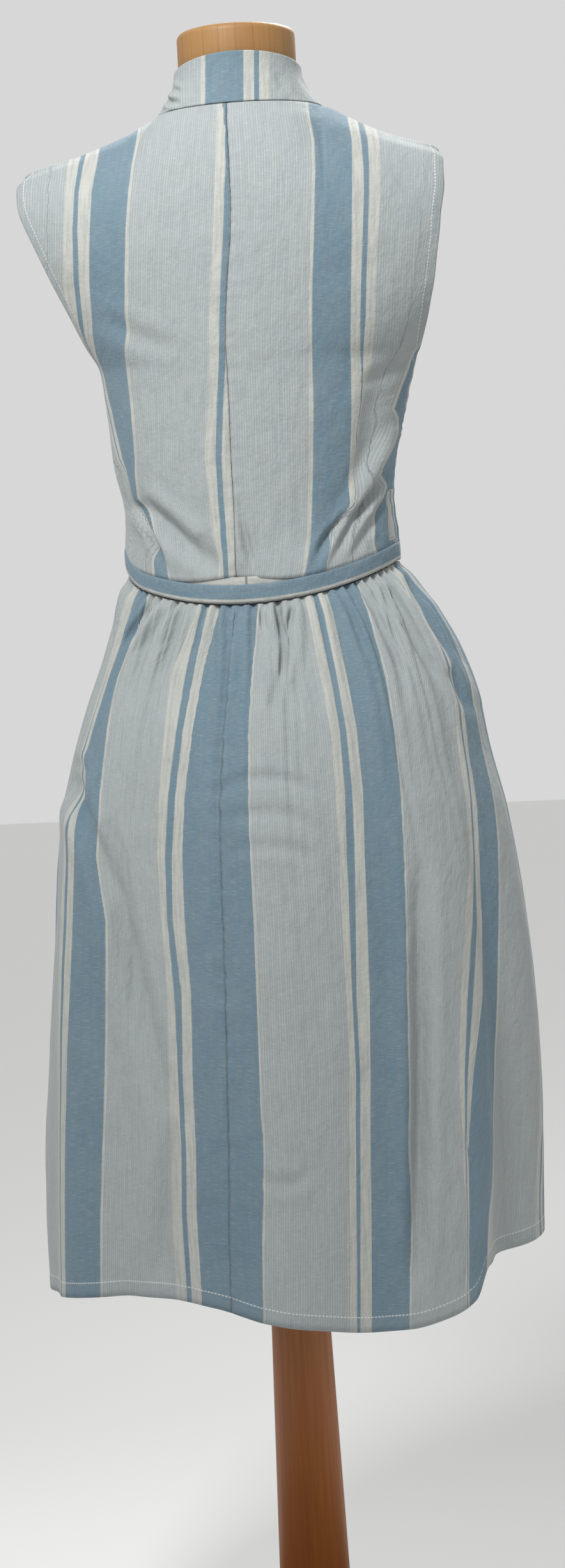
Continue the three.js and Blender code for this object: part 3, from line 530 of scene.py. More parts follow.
def gather_offset(angle, below):
    """Inward dip of the gathers at an angle and a distance below the waist seam."""
    place = (angle / (math.pi / 2) * GATHERS_PER_QUARTER) % (4 * GATHERS_PER_QUARTER)
    wander = 0.28 * np.sin(place * 0.9 + 1.3) + 0.2 * np.sin(place * 2.3)
    place = place + wander * smooth_step(below / GATHER_WANDER_FROM)
    index = np.floor(place).astype(int) % (4 * GATHERS_PER_QUARTER)
    wave = (1 - np.cos(2 * math.pi * place)) / 2
    return -gather_depths[index] * wave * np.exp(-below / gather_fades[index])


def skirt_points(angle, drop):
    """Outer face of the skirt, for arrays of angles and drops from waist (0) to hem (1)."""
    around = np.arctan2(np.sin(angle), np.cos(angle))
    hem = look_up(hem_table, around / DEGREE, "z")
    seam = turned_angle(around, WAIST_BACK_HEIGHT, WAIST_HALF, WAIST_SHIFT)
    top = waist_height(seam) - WAISTBAND_HEIGHT / 2 - SKIRT_TOP_GAP
    z = top + (hem - top) * drop
    level = levelled(seam, z)
    half = look_up(skirt_table, level, "half")
    shift = look_up(skirt_table, level, "shift")
    turned = turned_angle(around, z, half, shift)
    back, front = (look_up(skirt_table, level, key) for key in ("back", "front"))
    depth = np.where(np.cos(turned) > 0, back, front)
    out = fold_offset(around, z) + gather_offset(angle, top - z)
    return np.stack([shift + (half + out) * np.sin(turned), (depth + out) * np.cos(turned), z], -1)


def seen_from(points, azimuth):
    """Where points appear on the upright plane through the stand, from the photo's distance."""
    a = azimuth * DEGREE
    distance = CAMERA_DISTANCE / MM
    fall = (CAMERA_HEIGHT - AIM_HEIGHT) / MM
    side = AIM_RIGHT / MM if azimuth == CAMERA_AZIMUTH else 0
    length = math.sqrt(distance**2 + fall**2)
    sine, cosine = fall / length, distance / length
    right = points[..., 0] * math.cos(a) + points[..., 1] * math.sin(a)
    nearer = points[..., 0] * math.sin(a) - points[..., 1] * math.cos(a)
    drop = CAMERA_HEIGHT / MM - points[..., 2]
    depth = (distance - nearer) * cosine + drop * sine
    up = (distance - nearer) * sine - drop * cosine
    return side + (right - side) * distance / depth, AIM_HEIGHT / MM + up * distance / depth, nearer


def photo_pixels(points):
    """Pixel column and row of the photo at which points of the back are seen."""
    u, v, nearer = seen_from(points, CAMERA_AZIMUTH)
    turn = CAMERA_ROLL * DEGREE
    across, down = u - AIM_RIGHT / MM, AIM_HEIGHT / MM - v
    column = PHOTO_WIDTH / 2 + (across * math.cos(turn) - down * math.sin(turn)) / PIXEL_SIZE_MM
    row = PHOTO_HEIGHT / 2 + (across * math.sin(turn) + down * math.cos(turn)) / PIXEL_SIZE_MM
    return column, row


def smoothed_down(values):
    """One value a row, averaged over the rows near it."""
    window = np.ones(SMOOTHED_ROWS) / SMOOTHED_ROWS
    return np.convolve(np.pad(values, SMOOTHED_ROWS // 2, mode="edge"), window, mode="valid")[:, None]


def place_by_lines(column, row, seam_column, columns, lines, seam_place, hidden=HIDDEN_CLOTH):
    """Place in the woven repeat between listed lines, in mm; the seam is a grid's first or last column."""
    table = np.array(lines)
    seam = np.interp(row, table[:, 0], table[:, 1])
    at_seam = slice(0, 1) if seam_column == 0 else slice(-1, None)
    from_seam = np.abs(column - column[:, at_seam])
    column = column + (seam - column)[:, at_seam] * np.exp(-from_seam / SEAM_PULL_REACH)
    sign = 1 if columns[-1] > columns[2] else -1
    away = np.abs(column - seam)
    before_away = np.zeros(away.shape)
    before = seam_place(row) if callable(seam_place) else np.full(away.shape, seam_place)
    place = before.copy()
    for index, name in enumerate(columns[2:], 2):
        line = np.abs(np.interp(row, table[:, 0], table[:, index]) - seam)
        if name == REPEAT_BEFORE:
            half = (line - before_away) / 2
            part = away - before_away
            near = before + sign * part * CLOTH_PER_PIXEL
            far = name - sign * (line - away) * CLOTH_PER_PIXEL
            here = np.where(part < half, near, far)
        else:
            part = (away - before_away) / np.maximum(line - before_away, 0.1)
            here = before + (name - before) * part
        place = np.where(away >= before_away, here, place)
        before_away, before = np.maximum(line, before_away), np.full(away.shape, float(name))
    beyond = before + sign * (hidden + (away - before_away) * CLOTH_PER_PIXEL)
    return np.where(away > before_away, beyond, place)


def carried_round(place, column, along):
    """Past the outline that the photo shows, the pattern runs on by the cloth's own length."""
    away = np.abs(column - column[:, :1])
    reach = away.max(axis=1, keepdims=True) * OUTLINE_SHARE
    last = (away >= reach).argmax(axis=1)
    rows = np.arange(len(place))
    start = along[rows, last]
    carried = smoothed_down(place[rows, last] + start) - along
    share = smooth_step((along - start[:, None]) / OUTLINE_BLEND)
    return place * (1 - share) + carried * share


def left_seam_place(row):
    """Place in the repeat at the seam of the bodice's left back, which wanders off the grain."""
    table = np.array(LEFT_BACK_LINES)
    seam, line = (np.interp(row, table[:, 0], table[:, k]) for k in (1, 2))
    return LEFT_BACK_COLUMNS[2] + (seam - line) * CLOTH_PER_PIXEL


LEFT_BACK = (LEFT_BACK_COLUMNS, LEFT_BACK_LINES, left_seam_place)
RIGHT_BACK = (RIGHT_BACK_COLUMNS, RIGHT_BACK_LINES, RIGHT_BACK_SEAM_PLACE)
CREASE_STEPS = 16
BANK_SHARE = 0.32
CREASE_STRENGTH = 1.9
TURNING_AWAY = 30


def curve_through(row, t):
    """Point of a crease at a share t of its run, through its three given points."""
    u1, v1, u2, v2, u3, v3 = row
    a, b, c = (1 - t) * (1 - 2 * t), 4 * t * (1 - t), t * (2 * t - 1)
    return a * u1 + b * u2 + c * u3, a * v1 + b * v2 + c * v3


def crease_offset(points, creases, azimuth):
    """Outward offset of the listed troughs and ridges on the side seen from an azimuth."""
    u, v, nearer = seen_from(points, azimuth)
    total = np.zeros(u.shape)
    for depth, width, *row in creases:
        best = np.full(u.shape, 1e9)
        share = np.zeros(u.shape)
        for step in range(CREASE_STEPS):
            u_start, v_start = curve_through(row, step / CREASE_STEPS)
            u_end, v_end = curve_through(row, (step + 1) / CREASE_STEPS)
            run_u, run_v = u_end - u_start, v_end - v_start
            part = ((u - u_start) * run_u + (v - v_start) * run_v) / (run_u**2 + run_v**2)
            part = np.clip(part, 0, 1)
            away = np.hypot(u - u_start - run_u * part, v - v_start - run_v * part)
            share = np.where(away < best, (step + part) / CREASE_STEPS, share)
            best = np.minimum(best, away)
        fade = np.sqrt(np.sin(math.pi * np.clip(share, 0.001, 0.999)))
        trough = np.exp(-((best / width) ** 2))
        banks = np.exp(-(((best - 2 * width) / width) ** 2)) * BANK_SHARE
        total += CREASE_STRENGTH * depth * fade * (trough - banks)
    return total * smooth_step(nearer / TURNING_AWAY)


NOISE_COUNT = 4096
NOISE_TABLE = RNG.uniform(-1, 1, NOISE_COUNT)


def noise_at(points, size):
    """Smooth noise from -1 to 1 in space; size is its cell along each axis, in mm."""
    place = points / np.asarray(size, float)
    cell = np.floor(place).astype(np.int64)
    part = smooth_step(place - cell)
    total = np.zeros(points.shape[:-1])
    for dx in (0, 1):
        for dy in (0, 1):
            for dz in (0, 1):
                x, y, z = (cell[..., i] + d for i, d in enumerate((dx, dy, dz)))
                value = NOISE_TABLE[(x * 73856093 ^ y * 19349663 ^ z * 83492791) % NOISE_COUNT]
                weight = np.ones(total.shape)
                for i, d in enumerate((dx, dy, dz)):
                    weight = weight * (part[..., i] if d else 1 - part[..., i])
                total += value * weight
    return total


def level_normals(points):
    """Level unit normals of a grid, pointing away from the stand."""
    along = np.gradient(points, axis=1)
    upward = np.gradient(points, axis=0)
    normals = np.cross(along, upward)
    normals[..., 2] *= 0.3
    normals /= np.maximum(np.linalg.norm(normals, axis=-1, keepdims=True), 1e-9)
    outward = (normals * points * [1, 1, 0]).sum()
    return normals if outward > 0 else -normals


def place_on_skirt(points, degrees):
    """Place in the woven repeat on a back panel, read from the photo as far round as it shows."""
    column, row = photo_pixels(points)
    if degrees[-1] > 0:
        table = (0, LEFT_SKIRT_COLUMNS, LEFT_SKIRT_LINES, LEFT_SKIRT_SEAM_PLACE, 0)
        limit, sign = LEFT_SEEN_TO, -1
    else:
        table = (-1, RIGHT_SKIRT_COLUMNS, RIGHT_SKIRT_LINES, RIGHT_SKIRT_SEAM_PLACE, 0)
        limit, sign = RIGHT_SEEN_TO, 1
    place = place_by_lines(column, row, *table)
    last = np.abs(degrees - limit).argmin()
    past = np.abs(degrees) - abs(limit)
    share = smooth_step(past / SEEN_BLEND)
    carried = smoothed_down(place[:, last]) + sign * past * CLOTH_PER_DEGREE
    return place * (1 - share) + carried * share


def neck_round(x):
    """1 at the middle of the neckline and 0 at its sides."""
    return np.sqrt(np.maximum(0, 1 - (x / NECK_HALF_WIDTH) ** 2))


def top_height(x, is_back):
    low = NECK_BACK_HEIGHT if is_back else NECK_FRONT_HEIGHT
    neck = low + (NECK_SIDE_HEIGHT - low) * (1 - neck_round(x))
    return np.where(x >= NECK_HALF_WIDTH, look_up(shoulder_table, x, "z"), neck)


def top_depth(x, is_back):
    depth = NECK_BACK_DEPTH if is_back else NECK_FRONT_DEPTH
    return SEAM_HALF_GAP + (depth - SEAM_HALF_GAP) * neck_round(x)


def shoulder_share(x):
    """0 at the neck, 1 at the shoulder's tip."""
    return smooth_step((x - NECK_HALF_WIDTH) / (SHOULDER_LINE[-1][0] - NECK_HALF_WIDTH))


def bodice_row(across, z, is_back):
    """Place across and depth of the bodice's section at a height."""
    narrowing = 0 if is_back else look_up(bodice_table, z, "inset")
    half = look_up(bodice_table, z, "half") - narrowing
    middle = look_up(bodice_table, z, "back" if is_back else "front")
    turn = look_up(bodice_table, z, "turn") * DEGREE
    edge = np.maximum(SEAM_HALF_GAP, look_up(bodice_table, z, "edge"))
    a = across * turn
    deep = (np.cos(a) - np.cos(turn)) / (1 - np.cos(turn))
    return half * np.sin(a) / np.sin(turn), edge + (middle - edge) * deep


def bodice_points(across, up, side, is_back):
    """Outer face of a bodice quarter, for arrays of across (0 centre, 1 edge) and up."""
    quarter = across * math.pi / 2
    waist_line = look_up(centre_table, WAIST_BACK_HEIGHT, "back") - WAIST_SHIFT
    back_turn = np.arcsin(waist_line / WAIST_HALF) * (1 - across) ** 2
    seam = side * quarter + back_turn if is_back else math.pi - quarter
    low = waist_height(seam) + WAISTBAND_HEIGHT / 2 + SEAM_HALF_GAP
    tip = BODICE_SECTIONS[-1][0]
    top_x = BODICE_SECTIONS[-1][1] * across
    plain = low + (tip - low) * up
    level = levelled(seam, plain)
    x, y = bodice_row(across, level, is_back)
    last_x, last_y = bodice_row(across, np.full_like(plain, tip), is_back)
    bend = np.maximum(0, (up - SHOULDER_BEND_START) / (1 - SHOULDER_BEND_START))
    ramp = bend**2
    over = 1 - np.sqrt(np.maximum(0, 1 - bend * bend))
    x = x + (top_x - last_x) * ramp
    y = y + (top_depth(top_x, is_back) - last_y) * over
    drop = RIGHT_SHOULDER_DROP * shoulder_share(top_x) if side < 0 else 0
    z = plain + (top_height(top_x, is_back) - drop - tip) * up**3
    line = look_up(centre_table, z, "back") if is_back else 0
    lean = look_up(bodice_table, level, "lean")
    low_shift = lean * across + line * (1 - across) ** 2
    top_shift = NECK_SHIFT + (SHOULDER_TIP_SHIFT - NECK_SHIFT) * shoulder_share(top_x)
    shift = low_shift + (top_shift - low_shift) * ramp
    sign = 1 if is_back else -1
    return np.stack([side * np.maximum(x, SEAM_HALF_GAP) + shift, sign * y, z], -1)


# Materials
BAND_EDGE = 0.18
PIN_STRIPE = (140, 150, 154)
PIN_SPACING = 0.0023
SLUB = [0.85, 0.87, 0.86, 1]
BLOTCH = [0.33, 0.37, 0.39, 1]
# Painted shade colour for the turned hem band
HEM_BAND_PAINTED_SHADE = [0.22, 0.26, 0.28, 1]
# Painted shade colour for the groove along the stitch line
STITCH_GROOVE_PAINTED_SHADE = [0.16, 0.2, 0.22, 1]
STITCH_HALF_WIDTH = 0.0005
STITCH_LENGTH = 0.0031
STITCH_SHARE = 0.72
PALE_GRAIN = (138, 96, 50)
BROWN_GRAIN = (104, 56, 20)
CAP_BOARDS = 22


def linear(colour):
    """sRGB out of 255 as a linear colour."""
    parts = [c / 255 for c in colour]
    return [c / 12.92 if c <= 0.04045 else ((c + 0.055) / 1.055) ** 2.4 for c in parts] + [1.0]


class Nodes:
    """Short calls for building a node tree."""

    def __init__(self, name):
        self.material = bpy.data.materials.new(name)
        self.material.use_nodes = True
        self.tree = self.material.node_tree
        self.shader = self.tree.nodes["Principled BSDF"]

    def add(self, kind, **values):
        node = self.tree.nodes.new(kind)
        for key, value in values.items():
            setattr(node, key, value)
        return node

    def link(self, out, into):
        self.tree.links.new(out, into)

    def feed(self, socket, value):
        if hasattr(value, "links"):
            self.link(value, socket)
        elif value is not None:
            socket.default_value = value

    def surface(self, colour, normal, values):
        """Gives the shader its colour, its normal and its constant numbers."""
        self.link(colour, self.shader.inputs["Base Color"])
        if normal is not None:
            self.link(normal, self.shader.inputs["Normal"])
        for name, value in values.items():
            self.feed(self.shader.inputs[name], value)

    def math(self, operation, a, b=None, clamp=False):
        node = self.add("ShaderNodeMath", operation=operation, use_clamp=clamp)
        self.feed(node.inputs[0], a)
        self.feed(node.inputs[1], b)
        return node.outputs[0]

    def times(self, a, b, clamp=False):
        return self.math("MULTIPLY", a, b, clamp)

    def parts(self, vector):
        node = self.add("ShaderNodeSeparateXYZ")
        self.link(vector, node.inputs[0])
        return node.outputs[0], node.outputs[1]

    def own_place(self):
        return self.add("ShaderNodeTexCoord").outputs["Object"]

    def mix(self, factor, a, b):
        node = self.add("ShaderNodeMix", data_type="RGBA", blend_type="MIX")
        self.feed(node.inputs[0], factor)
        self.feed(node.inputs[6], a)
        self.feed(node.inputs[7], b)
        return node.outputs[2]

    def noise(self, vector, scale, detail=3, roughness=0.55):
        node = self.add("ShaderNodeTexNoise")
        node.inputs["Scale"].default_value = scale
        node.inputs["Detail"].default_value = detail
        node.inputs["Roughness"].default_value = roughness
        if vector is not None:
            self.link(vector, node.inputs["Vector"])
        return node.outputs["Fac"]

    def bump(self, height, strength, distance, normal=None):
        node = self.add("ShaderNodeBump")
        node.inputs["Strength"].default_value = strength
        node.inputs["Distance"].default_value = distance
        self.link(height, node.inputs["Height"])
        if normal is not None:
            self.link(normal, node.inputs["Normal"])
        return node.outputs["Normal"]

    def scaled(self, vector, scale):
        node = self.add("ShaderNodeMapping")
        node.inputs["Scale"].default_value = scale
        self.link(vector, node.inputs["Vector"])
        return node.outputs["Vector"]


def cotton_material():
    """Plain-weave cotton with the woven stripe, read from the cloth's own UV in metres."""
    n = Nodes("striped_cotton")
    uv = n.add("ShaderNodeUVMap", uv_map="cloth").outputs["UV"]
    across = n.parts(uv)[0]
    place = n.math("DIVIDE", n.math("FLOORED_MODULO", across, STRIPE_REPEAT * MM), STRIPE_REPEAT * MM)
    ramp = n.add("ShaderNodeValToRGB")
    colours = {"light": LIGHT_GROUND, "white": WHITE_BAND, "blue": BLUE_BAND}
    edge = BAND_EDGE / STRIPE_REPEAT
    elements = ramp.color_ramp.elements
    start = 0.0
    stops = []
    for band, width in STRIPE_BANDS:
        stops.append((start / STRIPE_REPEAT + edge, colours[band]))
        start += width
        stops.append((start / STRIPE_REPEAT - edge, colours[band]))
    for index, (position, colour) in enumerate(stops):
        element = elements[index] if index < 2 else elements.new(position)
        element.position = position
        element.color = linear(colour)
    n.link(place, ramp.inputs[0])
    yarn = n.scaled(uv, (2600, 90, 1))
    weft = n.scaled(uv, (120, 2100, 1))
    yarn_noise = n.noise(yarn, 1, 2)
    weft_noise = n.noise(weft, 1, 2)
    pin_wave = n.math("SINE", n.times(across, 2 * math.pi / PIN_SPACING))
    cotton = n.mix(n.times(yarn_noise, 0.2), ramp.outputs[0], linear(HEATHER))
    streak = n.noise(n.scaled(uv, (420, 26, 1)), 1, 3, 0.6)
    streak_share = n.times(n.math("SUBTRACT", streak, 0.4), 1.5, clamp=True)
    cotton = n.mix(n.times(streak_share, 0.9), cotton, linear(HEATHER))
    in_light = n.math("LESS_THAN", place, LIGHT_END / STRIPE_REPEAT)
    pin = n.times(n.times(n.math("ADD", pin_wave, 1), 0.5), in_light)
    cotton = n.mix(pin, cotton, linear(PIN_STRIPE))
    slub = n.times(n.math("SUBTRACT", weft_noise, 0.5), 0.5, clamp=True)
    cotton = n.mix(slub, cotton, SLUB)
    blotch = n.noise(n.scaled(uv, (14, 9, 1)), 1, 3)
    blotch_share = n.times(n.math("SUBTRACT", blotch, 0.42), 0.35, clamp=True)
    cotton = n.mix(blotch_share, cotton, BLOTCH)
    edge_uv = n.add("ShaderNodeUVMap", uv_map="stitch").outputs["UV"]
    off_line, down_line = n.parts(edge_uv)
    # Painted shade: the turned-back hem band is darkened to stand in for the shade of the turned hem
    hem_band_shade_mask = n.math("LESS_THAN", off_line, 0.0)
    cotton = n.mix(n.times(hem_band_shade_mask, 0.16), cotton, HEM_BAND_PAINTED_SHADE)
    on_line = n.math("LESS_THAN", n.math("ABSOLUTE", off_line), STITCH_HALF_WIDTH)
    run = n.math("FRACT", n.times(down_line, 1 / STITCH_LENGTH))
    dash = n.math("LESS_THAN", run, STITCH_SHARE)
    stitches = n.times(on_line, dash)
    # Painted shade: the stitch line is darkened to stand in for the shadow in its groove; the thread dashes
    # go over it
    cotton = n.mix(n.times(on_line, 0.3), cotton, STITCH_GROOVE_PAINTED_SHADE)
    cotton = n.mix(n.times(stitches, 0.55), cotton, linear(THREAD))
    weave = n.math("ADD", n.times(yarn_noise, 0.6), n.times(weft_noise, 0.5))
    crumple = n.noise(n.scaled(uv, (46, 30, 1)), 1, 4, 0.6)
    fine = n.bump(weave, 0.35, 0.00035)
    n.surface(cotton, n.bump(crumple, 0.8, 0.004, fine), {
        "Roughness": 0.92, "Sheen Weight": 0.12, "Sheen Roughness": 0.5, "Specular IOR Level": 0.2})
    return n.material


def wood_material(name, colour, dark, ring_scale, grain_along, boards=0):
    """Lacquered wood: long grain with slow colour bands, and glued boards where it has any."""
    n = Nodes(name)
    place = n.own_place()
    stretched = n.scaled(place, grain_along)
    grain = n.noise(stretched, ring_scale, 6, 0.62)
    finer = [g * 6 for g in grain_along[:2]] + [grain_along[2]]
    fibre = n.noise(n.scaled(place, finer), ring_scale * 2.2, 3)
    mixed = n.mix(grain, linear(colour), linear(dark))
    ramp = n.add("ShaderNodeValToRGB")
    ramp.color_ramp.elements[0].position = 0.38
    ramp.color_ramp.elements[1].position = 0.72
    n.link(fibre, ramp.inputs[0])
    mixed = n.mix(n.times(ramp.outputs[0], 0.35), mixed, linear(dark))
    if boards:
        turn = n.math("ADD", n.math("ARCTAN2", *n.parts(place)), math.pi)
        board = n.times(turn, boards / (2 * math.pi))
        number = n.math("FLOOR", board)
        part = n.math("FRACT", board)
        wave = n.math("SINE", n.times(number, 12.99))
        tone = n.math("FRACT", n.times(wave, 43.76))
        mixed = n.mix(n.times(tone, 0.45), mixed, linear(dark))
        joint = n.math("LESS_THAN", part, 0.05)
        mixed = n.mix(n.times(joint, 0.4), mixed, linear(BOARD_JOINT))
    rough = n.math("ADD", n.times(fibre, 0.2), 0.48)
    n.surface(mixed, n.bump(fibre, 0.25, 0.0004), {
        "Roughness": rough, "Coat Weight": 0.04, "Coat Roughness": 0.25})
    return n.material


def jersey_material():
    n = Nodes("form_cover")
    place = n.own_place()
    knit = n.noise(n.scaled(place, (900, 900, 500)), 1, 2)
    tone = n.noise(place, 9, 3)
    colour = n.mix(n.times(tone, 0.3), linear(FORM_COVER), linear((196, 188, 174)))
    n.surface(colour, n.bump(knit, 0.3, 0.0004), {"Roughness": 0.9, "Sheen Weight": 0.15})
    return n.material


def button_material():
    n = Nodes("button")
    place = n.own_place()
    cloud = n.noise(place, 160, 3)
    colour = n.mix(cloud, linear(BUTTON), linear((208, 204, 192)))
    n.surface(colour, n.bump(cloud, 0.05, 0.0002), {"Roughness": 0.28, "Coat Weight": 0.3})
    return n.material


cotton = cotton_material()
pale_wood = wood_material("pale_wood", PALE_WOOD, PALE_GRAIN, 3.0, (9, 9, 1.2), CAP_BOARDS)
brown_wood = wood_material("brown_wood", BROWN_WOOD, BROWN_GRAIN, 2.4, (10, 10, 0.9))
jersey = jersey_material()
pearl = button_material()


# Meshes


def in_scene(thing):
    bpy.context.scene.collection.objects.link(thing)


def add_uv(mesh, name, values):
    layer = mesh.uv_layers.new(name=name)
    index = np.zeros(len(mesh.loops), np.int32)
    mesh.loops.foreach_get("vertex_index", index)
    layer.data.foreach_set("uv", np.asarray(values)[index].astype(np.float32).ravel())


def mesh_object(name, vertices, faces, material, replaces, uv=None):
    """A mesh object from points in millimetres, riding on the part's only body."""
    mesh = bpy.data.meshes.new(name)
    mesh.from_pydata((np.asarray(vertices) * MM).tolist(), [], faces)
    mesh.polygons.foreach_set("use_smooth", [True] * len(mesh.polygons))
    if uv is not None:
        add_uv(mesh, "cloth", uv)
    mesh.materials.append(material)
    mesh.update()
    piece = bpy.data.objects.new(name, mesh)
    in_scene(piece)
    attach(piece, "root")
    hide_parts(*replaces)
    return piece


def grid_faces(rows, columns, ring=False, turn_over=False):
    """Quads of a grid, with the last column joined to the first on a ring."""
    j, i = np.meshgrid(np.arange(rows - 1), np.arange(columns if ring else columns - 1), indexing="ij")
    k = (i + 1) % columns
    quads = np.stack([j * columns + i, j * columns + k, (j + 1) * columns + k, (j + 1) * columns + i], -1)
    quads = quads.reshape(-1, 4)
    return (quads[:, ::-1] if turn_over else quads).tolist()


def cloth_piece(name, points, uv, node, stitch=None, thickness=SHELL, ring=False):
    """A thin shell through a grid of outer points, its other face towards the body."""
    rows, columns = points.shape[:2]
    normals = np.cross(np.gradient(points, axis=1), np.gradient(points, axis=0))
    middle = points.reshape(-1, 3).mean(0) * np.array([0, 0, 1])
    turn_over = ((points - middle) * np.array([1, 1, 0]) * normals).sum() < 0
    faces = grid_faces(rows, columns, ring, turn_over)
    piece = mesh_object(name, points.reshape(-1, 3), faces, cotton, (node,), uv.reshape(-1, 2))
    if stitch is None:
        stitch = np.full(uv.shape, FAR_FROM_STITCH * MM)
    add_uv(piece.data, "stitch", stitch.reshape(-1, 2))
    shell = piece.modifiers.new("shell", "SOLIDIFY")
    shell.thickness = thickness * MM
    shell.offset = -1
    shell.use_even_offset = False
    return piece


def lofted(name, rings, material, node):
    """A closed body through rings of points, with a fan of triangles at each end."""
    rings = np.asarray(rings)
    rows, columns = rings.shape[:2]
    faces = grid_faces(rows, columns, ring=True)
    vertices = rings.reshape(-1, 3).tolist()
    for row, turned in ((0, True), (rows - 1, False)):
        vertices.append(rings[row].mean(0).tolist())
        middle = len(vertices) - 1
        for i in range(columns):
            a, b = row * columns + i, row * columns + (i + 1) % columns
            faces.append([middle, b, a] if turned else [middle, a, b])
    return mesh_object(name, vertices, faces, material, (node,))


def turned(name, profile, sides, material, slot, node, shift=0):
    """A turned piece from its profile of (radius, height) pairs."""
    a = np.linspace(0, 2 * math.pi, sides, endpoint=False)
    rings = [np.stack([shift + r * np.cos(a), r * np.sin(a), np.full(sides, z)], -1) for r, z in profile]
    return lofted(name, rings, material, node)


def rounded_edge(radius, height, round_by, steps=6):
    """Points of a quarter round between a side and the flat top over it."""
    points = []
    for k in range(steps + 1):
        a = k / steps * math.pi / 2
        points.append((radius - round_by * (1 - math.cos(a)), height - round_by * (1 - math.sin(a))))
    return points


# Seam lines, hems and wrinkles
SEAM_GROOVE = 1.0
SEAM_GROOVE_WIDTH = 2.2
PUCKER = 0.55
PUCKER_SPACING = 11.5
PUCKER_REACH = 9
HEM_TURN = 14
ARMHOLE_STITCH = 9
FAR_FROM_STITCH = 60


def seam_offset(away, height):
    """Dip along a sewn seam with the small puckers that its thread draws in."""
    groove = -SEAM_GROOVE * np.exp(-((away / SEAM_GROOVE_WIDTH) ** 2))
    phase = height / PUCKER_SPACING + 0.8 * np.sin(height / 37) + 0.5 * np.sin(height / 15.3)
    return groove + PUCKER * np.sin(2 * math.pi * phase) * np.exp(-away / PUCKER_REACH)


def wrinkle_offset(points, amount):
    """Soft uneven wrinkles over the whole cloth, longer down the cloth than across."""
    broad = noise_at(points, (58, 58, 120))
    middle = noise_at(points + 31, (26, 26, 60))
    fine = noise_at(points + 77, (11, 11, 19))
    return amount * (0.9 * broad + 0.55 * middle + 0.22 * fine)


def distance_along(points):
    """Distance along each row of a grid from its first column."""
    steps = np.linalg.norm(np.diff(points, axis=1), axis=-1)
    return np.concatenate([np.zeros((len(points), 1)), np.cumsum(steps, axis=1)], axis=1)


BODICE_COLUMN_COUNT = 132
BODICE_ROW_COUNT = 130
BODICE_SEAM_LEFT = 94.7
COLLAR_CENTRE = 120.7
COLLAR_COLUMN = 350.5
COLLAR_RADIUS = 62
COLLAR_WRINKLE = 0.5
COLLAR_SHELL = 1.2
FRONT_SIDE_PLACE = -172.0
BODICE_WRINKLE = 0.85
CRINKLE_DEPTH = 1.1
CRINKLE_CELL = 6.5
CRINKLE_REACH = 0.16
BLOUSE_OUT = 1.9
BLOUSE_DROP = 7.6
BLOUSE_REACH = 0.07
BLOUSE_LEAST = 0.6
BACK_HELD_WIDTH = 36
FRONT_HELD_WIDTH = 16


def bodice_panel(name, side, is_back):
    """A quarter of the bodice, with its folds, its blousing at the waist and its stripe."""
    ups = 1 - (1 - np.linspace(0, 1, BODICE_ROW_COUNT + 1)) ** 1.25
    across, up = np.meshgrid(np.linspace(0, 1, BODICE_COLUMN_COUNT + 1), ups)
    points = bodice_points(across, up, side, is_back)
    along = distance_along(points)
    z = points[..., 2]
    near_waist = smooth_step(up / 0.05)
    offset = wrinkle_offset(points, BODICE_WRINKLE) * near_waist
    offset += crease_offset(points, BACK_CREASES, CAMERA_AZIMUTH) * near_waist
    offset += crease_offset(points, FRONT_CREASES, CAMERA_AZIMUTH - 180) * near_waist
    offset += seam_offset(along, z) if is_back else 0
    offset += seam_offset(along[:, -1:] - along, z + 500) * smooth_step((UNDERARM - z) / 10)
    offset *= smooth_step((1.02 - up) / 0.06)
    crinkle = noise_at(points * [1, 1, 0.16] + 13, [CRINKLE_CELL] * 3) * np.exp(-up / CRINKLE_REACH)
    offset += CRINKLE_DEPTH * crinkle * smooth_step(up / 0.03)
    blouse = 1 - smooth_step(up / BLOUSE_REACH)
    held_width = BACK_HELD_WIDTH if is_back else FRONT_HELD_WIDTH
    blouse *= 1 - 0.9 * np.exp(-((along / held_width) ** 2))
    from_middle = (points[..., :2] - [WAIST_SHIFT, 0]) / [WAIST_HALF, WAIST_BACK_DEPTH]
    to_band = (1 - np.hypot(from_middle[..., 0], from_middle[..., 1])) * WAIST_HALF * 0.9 + BLOUSE_OUT
    offset += np.maximum(to_band, BLOUSE_LEAST) * blouse
    placed = points + level_normals(points) * offset[..., None]
    placed[..., 2] -= BLOUSE_DROP * blouse
    column, row = photo_pixels(points)
    if is_back:
        lines = LEFT_BACK if side > 0 else RIGHT_BACK
        across_cloth = carried_round(place_by_lines(column, row, 0, *lines), column, along)
    elif side > 0:
        across_cloth = BODICE_SEAM_LEFT - along
    else:
        across_cloth = FRONT_SIDE_PLACE + along[:, -1][z[:, -1] < UNDERARM].mean() - along
    uv = np.stack([across_cloth * MM, z * MM], -1)
    from_end = np.hypot(along[:, -1:] - along, np.maximum(0, UNDERARM - z))
    stitch = np.stack([(from_end - ARMHOLE_STITCH) * MM, z * MM], -1)
    return cloth_piece(name + "_cloth", placed, uv, name, stitch)


SKIRT_COLUMN_COUNT = 150
SKIRT_ROW_COUNT = 124
SKIRT_LENGTH = 640
SKIRT_WRINKLE = 1.35
SEAM_CRUMPLE = 1.1
SEAM_CRUMPLE_CELL = 8
SEAM_CRUMPLE_REACH = 15
HEM_STANDS_OUT = 0.45
HEM_GROOVE = 0.5
HEM_GROOVE_WIDTH = 1.8
FRONT_SKIRT_PLACE = -170
# In metres, for the cloth's own UV
SKIRT_CLOTH_LENGTH = 0.63
HEM_RADIUS = 0.22


